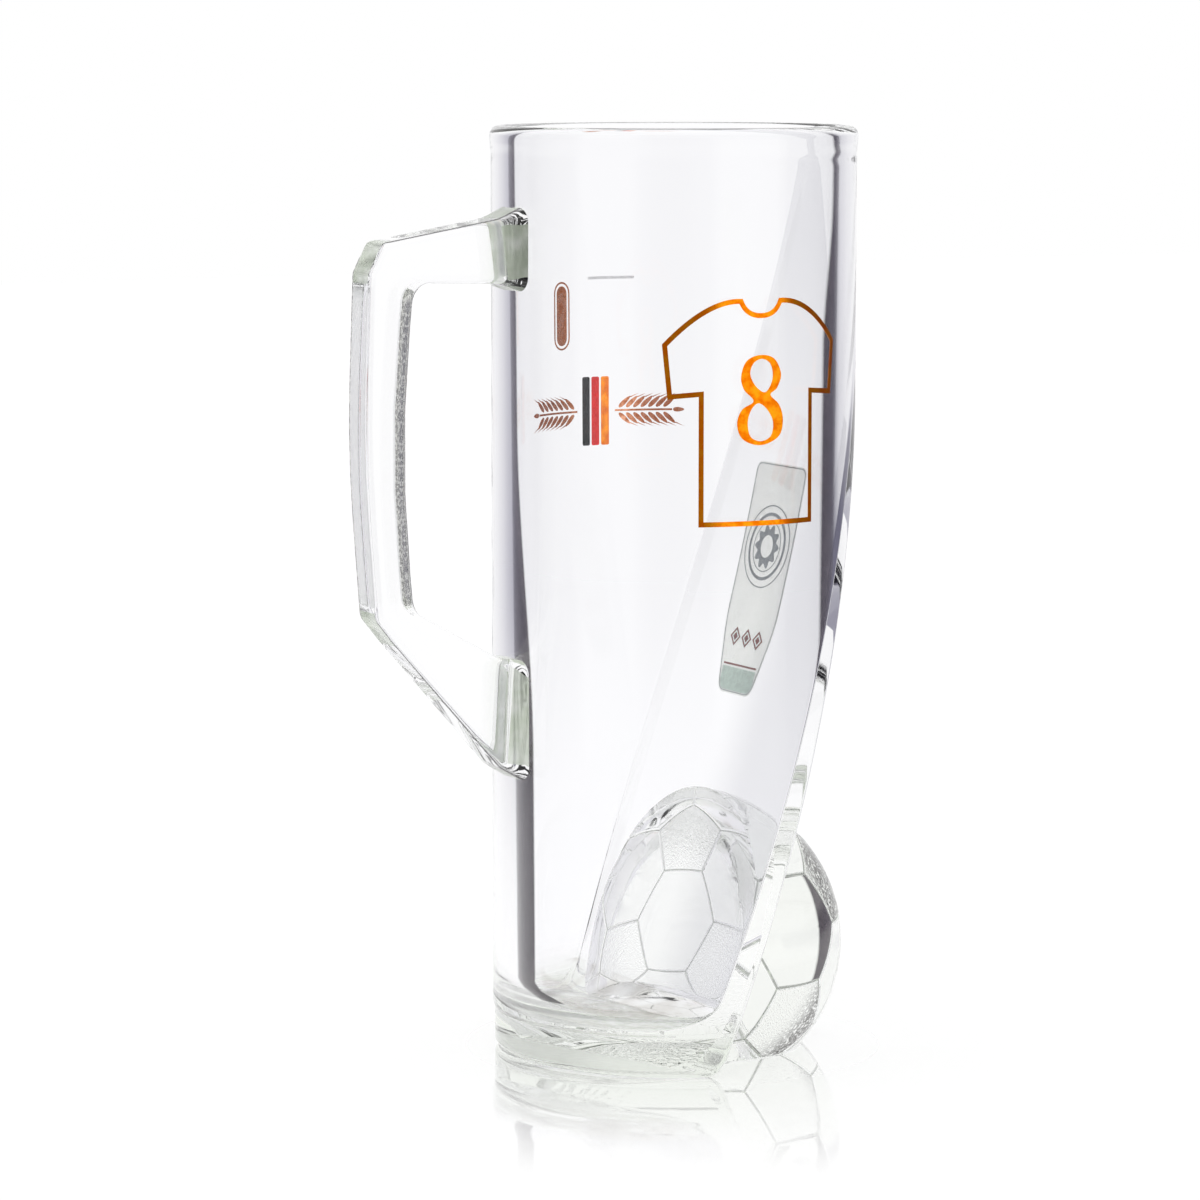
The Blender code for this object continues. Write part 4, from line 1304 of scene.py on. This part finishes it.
class MUG_OT_label(Operator):
    """Prints the label on the slanted face: panel, band, lozenges and rosette"""

    bl_idname = "mug.label"
    bl_label = "Label"

    def execute(self, context):
        scene = context.scene
        s, cup, colours = scene.mug_prints, scene.mug_cup, scene.mug_colours
        low, top, half = s.label_bottom, s.label_bottom + s.label_height, s.label_width / 2
        foot, corner, knee = half - s.label_taper, s.label_corner, s.label_bottom + s.label_knee
        below_knee = (half - 0.3 * s.label_taper, knee - 0.3 * s.label_knee)
        above_foot = (foot + 0.2 * s.label_taper, low + 0.2 * s.label_knee)
        panel = both_sides(
            [(0, top), (half - corner, top)]
            + bend((half - corner, top), (half, top), (half, top - corner), 8)
            + bend((half, knee + s.label_taper), (half, knee), below_knee, 8)
            + bend(above_foot, (foot, low), (foot - corner, low), 8)
            + [(0, low)]
        )
        edge = inside(panel, s.band_inset / 2)
        band_top = low + s.band_inset + s.band_height
        band = [(x, min(z, band_top)) for x, z in inside(panel, s.band_inset)]
        side = max(x for x, z in band if z < band_top)
        right_half = [(x, z) for x, z in band if x >= 0 and z < band_top]
        band = both_sides([(0, band_top), (side, band_top)] + right_half)
        row_z = band_top + 2 * s.label_margin + s.lozenge_height / 2
        rosette_z = (top + row_z + s.lozenge_height / 2) / 2
        line = s.label_line
        lozenges = [[soft_box(0, band_top + 1.5 * line, 2 * side, line, line / 4)]]
        for place in (-1, 0, 1):
            x, w, h = place * s.lozenge_width, 0.44 * s.lozenge_width, s.lozenge_height / 2
            diamond = [(x + w, row_z), (x, row_z + h), (x - w, row_z), (x, row_z - h)]
            lozenges += [[diamond, inside(diamond, line)], [inside(diamond, 2 * line)]]
        wide, hole = s.rosette_radius, s.rosette_hole
        rosette = [[edge, inside(panel, s.band_inset / 2 + s.label_hairline)]]
        for outer, inner in (
            (wide, wide - s.rosette_line), (0.82 * wide, 0.74 * wide), (hole + 1.5 * line, hole + line),
        ):
            rosette.append([circle(0, rosette_z, outer), circle(0, rosette_z, inner)])
        lobed = circle(0, rosette_z, hole, count=120, lobes=10, dip=1.5 * line)
        rosette.append([lobed, circle(0, rosette_z, 0.5 * hole)])
        sheet = (s.stand_off, s.stand_off + s.film)
        through = (0.4 * s.stand_off, 1.6 * s.stand_off + s.film)
        green = enamel_ink("pale_green_enamel_fired", colours.pale_green)
        wine = enamel_ink("dark_red_enamel_fired", colours.dark_red)
        grey = enamel_ink("grey_enamel_fired", colours.grey)
        prints = (
            ("label_panel", [[panel]], silver_ink(colours), "silver_print", sheet),
            ("label_band", [[band]], green, "pale_green_print", through),
            ("label_lozenges", lozenges, wine, "dark_red_print", through),
            ("label_rosette", rosette, grey, "grey_print", through),
        )
        print_films(prints, on_face(cup), FACE_STEPS)
        return {"FINISHED"}


# Stage

# The camera stands this far round to the handle's side of the jersey, and looks down by this much
VIEW_TURN, VIEW_PITCH = math.radians(28), math.radians(6.805)
TO_RIGHT = Vector((math.cos(VIEW_TURN), -math.sin(VIEW_TURN), 0))
TO_BACK = Vector((math.sin(VIEW_TURN), math.cos(VIEW_TURN), 0))

# Light that reaches the eye from round the mug, by degrees to the right of the sweep behind it
IN_MIRROR = (
    (-180, 0.25), (-168, 0.3), (-161, 0.6), (-118, 0.6), (-104, 0.4), (-74, 0.3), (-52, 0.35), (-40, 0.58),
    (-32, 0.74), (-22, 0.86), (-10, 0.94), (0, 1.0), (10, 0.94), (25, 0.84), (42, 0.74), (52, 0.14),
    (60, 0.14), (90, 0.2), (106, 0.2), (108, 1.2), (150, 1.2), (158, 0.3), (180, 0.25),
)
# Colour of the white floor, the glow that lifts it to white, and how much it mirrors at the foot
FLOOR_WHITE, FLOOR_GLOW, FLOOR_MIRROR = (0.8, 0.8, 0.8, 1), 0.24, 0.72


class MUG_OT_stage(Operator):
    """Sets the white sweep, the surround, the floor and the camera"""

    bl_idname = "mug.stage"
    bl_label = "Stage"

    def execute(self, context):
        scene = context.scene
        scene.view_settings.view_transform = "Standard"
        scene.cycles.max_bounces = 48
        scene.cycles.transmission_bounces = 32
        scene.cycles.glossy_bounces = 20
        scene.cycles.blur_glossy = 0.0
        scene.cycles.transparent_max_bounces = 32
        self.surround(scene)
        self.floor()
        self.camera(scene)
        return {"FINISHED"}

    def sights(self, tree, level):
        """What glass and metal see of the studio in a level direction: a white sweep behind the mug, and in
        mirrors a dark flag on the right, and beside the camera a soft box and the dim room. Gives that
        light, 1 for the rays that glass and metal send, and the node that tells rays apart."""
        right = add_node(tree, "ShaderNodeVectorMath", {"operation": "DOT_PRODUCT"}, {0: level, 1: TO_RIGHT})
        away = add_node(tree, "ShaderNodeVectorMath", {"operation": "DOT_PRODUCT"}, {0: level, 1: TO_BACK})
        angle_of = add_node(tree, "ShaderNodeMath", {"operation": "ARCTAN2"}, {
            0: right.outputs["Value"], 1: away.outputs["Value"],
        })
        place = add_node(tree, "ShaderNodeMapRange", None, {
            "Value": angle_of.outputs[0], "From Min": -math.pi, "From Max": math.pi,
        })
        studio = add_node(tree, "ShaderNodeValToRGB", None, {"Fac": place.outputs["Result"]})
        while len(studio.color_ramp.elements) < len(IN_MIRROR):
            studio.color_ramp.elements.new(0.5)
        for element, (degrees, light) in zip(studio.color_ramp.elements, IN_MIRROR):
            element.position = (degrees + 180) / 360
            element.color = (light, 0.97 * light + 0.03 * light * light, light ** 0.85, 1)
        path = add_node(tree, "ShaderNodeLightPath")
        mirrored = add_node(tree, "ShaderNodeMath", {"operation": "COMPARE"}, {
            0: path.outputs["Glossy Depth"], 1: 1.0, 2: 0.5,
        })
        seen = add_node(tree, "ShaderNodeMix", {"data_type": "RGBA"}, {
            "Factor": mirrored.outputs[0], 6: (1, 1, 1, 1), 7: studio.outputs["Color"],
        })
        bent = add_node(tree, "ShaderNodeMath", {"operation": "MAXIMUM"}, {
            0: path.outputs["Is Glossy Ray"], 1: path.outputs["Is Transmission Ray"],
        })
        return seen.outputs[2], bent.outputs[0], path

    def surround(self, scene):
        """White light all round, and near the horizon what glass and metal see."""
        world = bpy.data.worlds.new("white_sweep")
        scene.world = world
        world.use_nodes = True
        tree = world.node_tree
        background = tree.nodes["Background"]
        direction = add_node(tree, "ShaderNodeTexCoord").outputs["Generated"]
        seen, bent, _ = self.sights(tree, direction)
        low = fall(tree, height_of(tree, direction), 0.03, 0.14)
        share = add_node(tree, "ShaderNodeMath", {"operation": "MULTIPLY"}, {0: low, 1: bent})
        shown = add_node(tree, "ShaderNodeMix", {"data_type": "RGBA"}, {
            "Factor": share.outputs[0], 6: (1, 1, 1, 1), 7: seen,
        })
        tree.links.new(shown.outputs[2], background.inputs["Color"])

    def floor(self):
        """A glossy white sheet: it mirrors the mug near its foot and to the eye is plain white further out. To
        rays from glass and metal the open floor glows with painted light: a picture of the studio's sweep,
        flag, soft box and dim room.
        """
        size, low = 3.0, -0.0002  # half its side, and a hair below the table so that the foot stays clear
        corners = [(-size, -size, low), (size, -size, low), (size, size, low), (-size, size, low)]
        floor = new_object("floor", new_mesh("floor", corners, [(0, 1, 2, 3)]))
        material, tree, shader = new_material("white_acrylic_sheet")
        tree.nodes.remove(shader)
        position = add_node(tree, "ShaderNodeTexCoord").outputs["Object"]
        seen, bent, path = self.sights(tree, position)
        radius = from_axis(tree, position)
        shown = add_node(tree, "ShaderNodeMath", {"operation": "MAXIMUM"}, {
            0: path.outputs["Is Camera Ray"], 1: bent,
        })
        glow = add_node(tree, "ShaderNodeMath", {"operation": "MULTIPLY"}, {
            0: shown.outputs[0], 1: FLOOR_GLOW,
        })
        lit = add_node(tree, "ShaderNodeEmission", None, {"Strength": glow.outputs[0]})
        matt = add_node(tree, "ShaderNodeBsdfDiffuse", None, {"Color": FLOOR_WHITE})
        white = add_node(tree, "ShaderNodeAddShader", None, {0: matt.outputs[0], 1: lit.outputs[0]})
        # Painted light: away from the foot, glass and metal see the studio glowing on the floor
        far = add_node(tree, "ShaderNodeMath", {"operation": "MULTIPLY"}, {
            0: fall(tree, radius, 0.8, 0.05), 1: bent,
        })
        studio = add_node(tree, "ShaderNodeEmission", None, {"Color": seen})
        open_floor = add_node(tree, "ShaderNodeMixShader", None, {
            0: far.outputs[0], 1: white.outputs[0], 2: studio.outputs[0],
        })
        gloss = add_node(tree, "ShaderNodeBsdfGlossy", None, {"Color": (1, 1, 1, 1), "Roughness": 0.0})
        share = add_node(tree, "ShaderNodeMath", {"operation": "MULTIPLY"}, {
            0: fall(tree, radius, 0.036, 0.135), 1: FLOOR_MIRROR,
        })
        sheet = add_node(tree, "ShaderNodeMixShader", None, {
            0: share.outputs[0], 1: open_floor.outputs[0], 2: gloss.outputs[0],
        })
        tree.links.new(sheet.outputs[0], tree.nodes["Material Output"].inputs["Surface"])
        floor.data.materials.append(material)

    def camera(self, scene):
        """The photograph's view, for a square frame."""
        look = TO_BACK * math.cos(VIEW_PITCH) - Vector((0, 0, math.sin(VIEW_PITCH)))
        up = TO_RIGHT.cross(look)
        data = bpy.data.cameras.new("photo_view")
        data.lens, data.sensor_width, data.clip_end = 142.08, 36, 20
        camera = new_object("photo_view", data)
        aside, back, high = -0.0155, 1.0, 0.21484
        place = TO_RIGHT * aside - TO_BACK * back + Vector((0, 0, high))
        camera.matrix_world = Matrix.Translation(place) @ Matrix((TO_RIGHT, up, -look)).transposed().to_4x4()
        scene.camera = camera


class MUG_PT_panel(Panel):
    """Lists the steps that dress the mug."""

    bl_label = "Glass Beer Mug"
    bl_space_type = "VIEW_3D"
    bl_region_type = "UI"
    bl_category = "Mug"

    def draw(self, context):
        for step in STEPS:
            self.layout.operator(f"mug.{step}")


GROUPS = {
    "mug_cup": CupSizes, "mug_ball": BallSizes, "mug_handle": HandleSizes, "mug_prints": PrintSizes,
    "mug_colours": MugColours,
}
STEPS = ("press_glass", "jersey", "wall_prints", "label", "stage")
CLASSES = (
    *GROUPS.values(), MUG_OT_press_glass, MUG_OT_jersey, MUG_OT_wall_prints, MUG_OT_label, MUG_OT_stage,
    MUG_PT_panel,
)


def register():
    for cls in CLASSES:
        bpy.utils.register_class(cls)
    for name, group in GROUPS.items():
        setattr(bpy.types.Scene, name, PointerProperty(type=group))


def unregister():
    for name in GROUPS:
        delattr(bpy.types.Scene, name)
    for cls in reversed(CLASSES):
        bpy.utils.unregister_class(cls)


def main():
    register()
    for step in STEPS:
        getattr(bpy.ops.mug, step)()


if __name__ == "__main__":
    main()
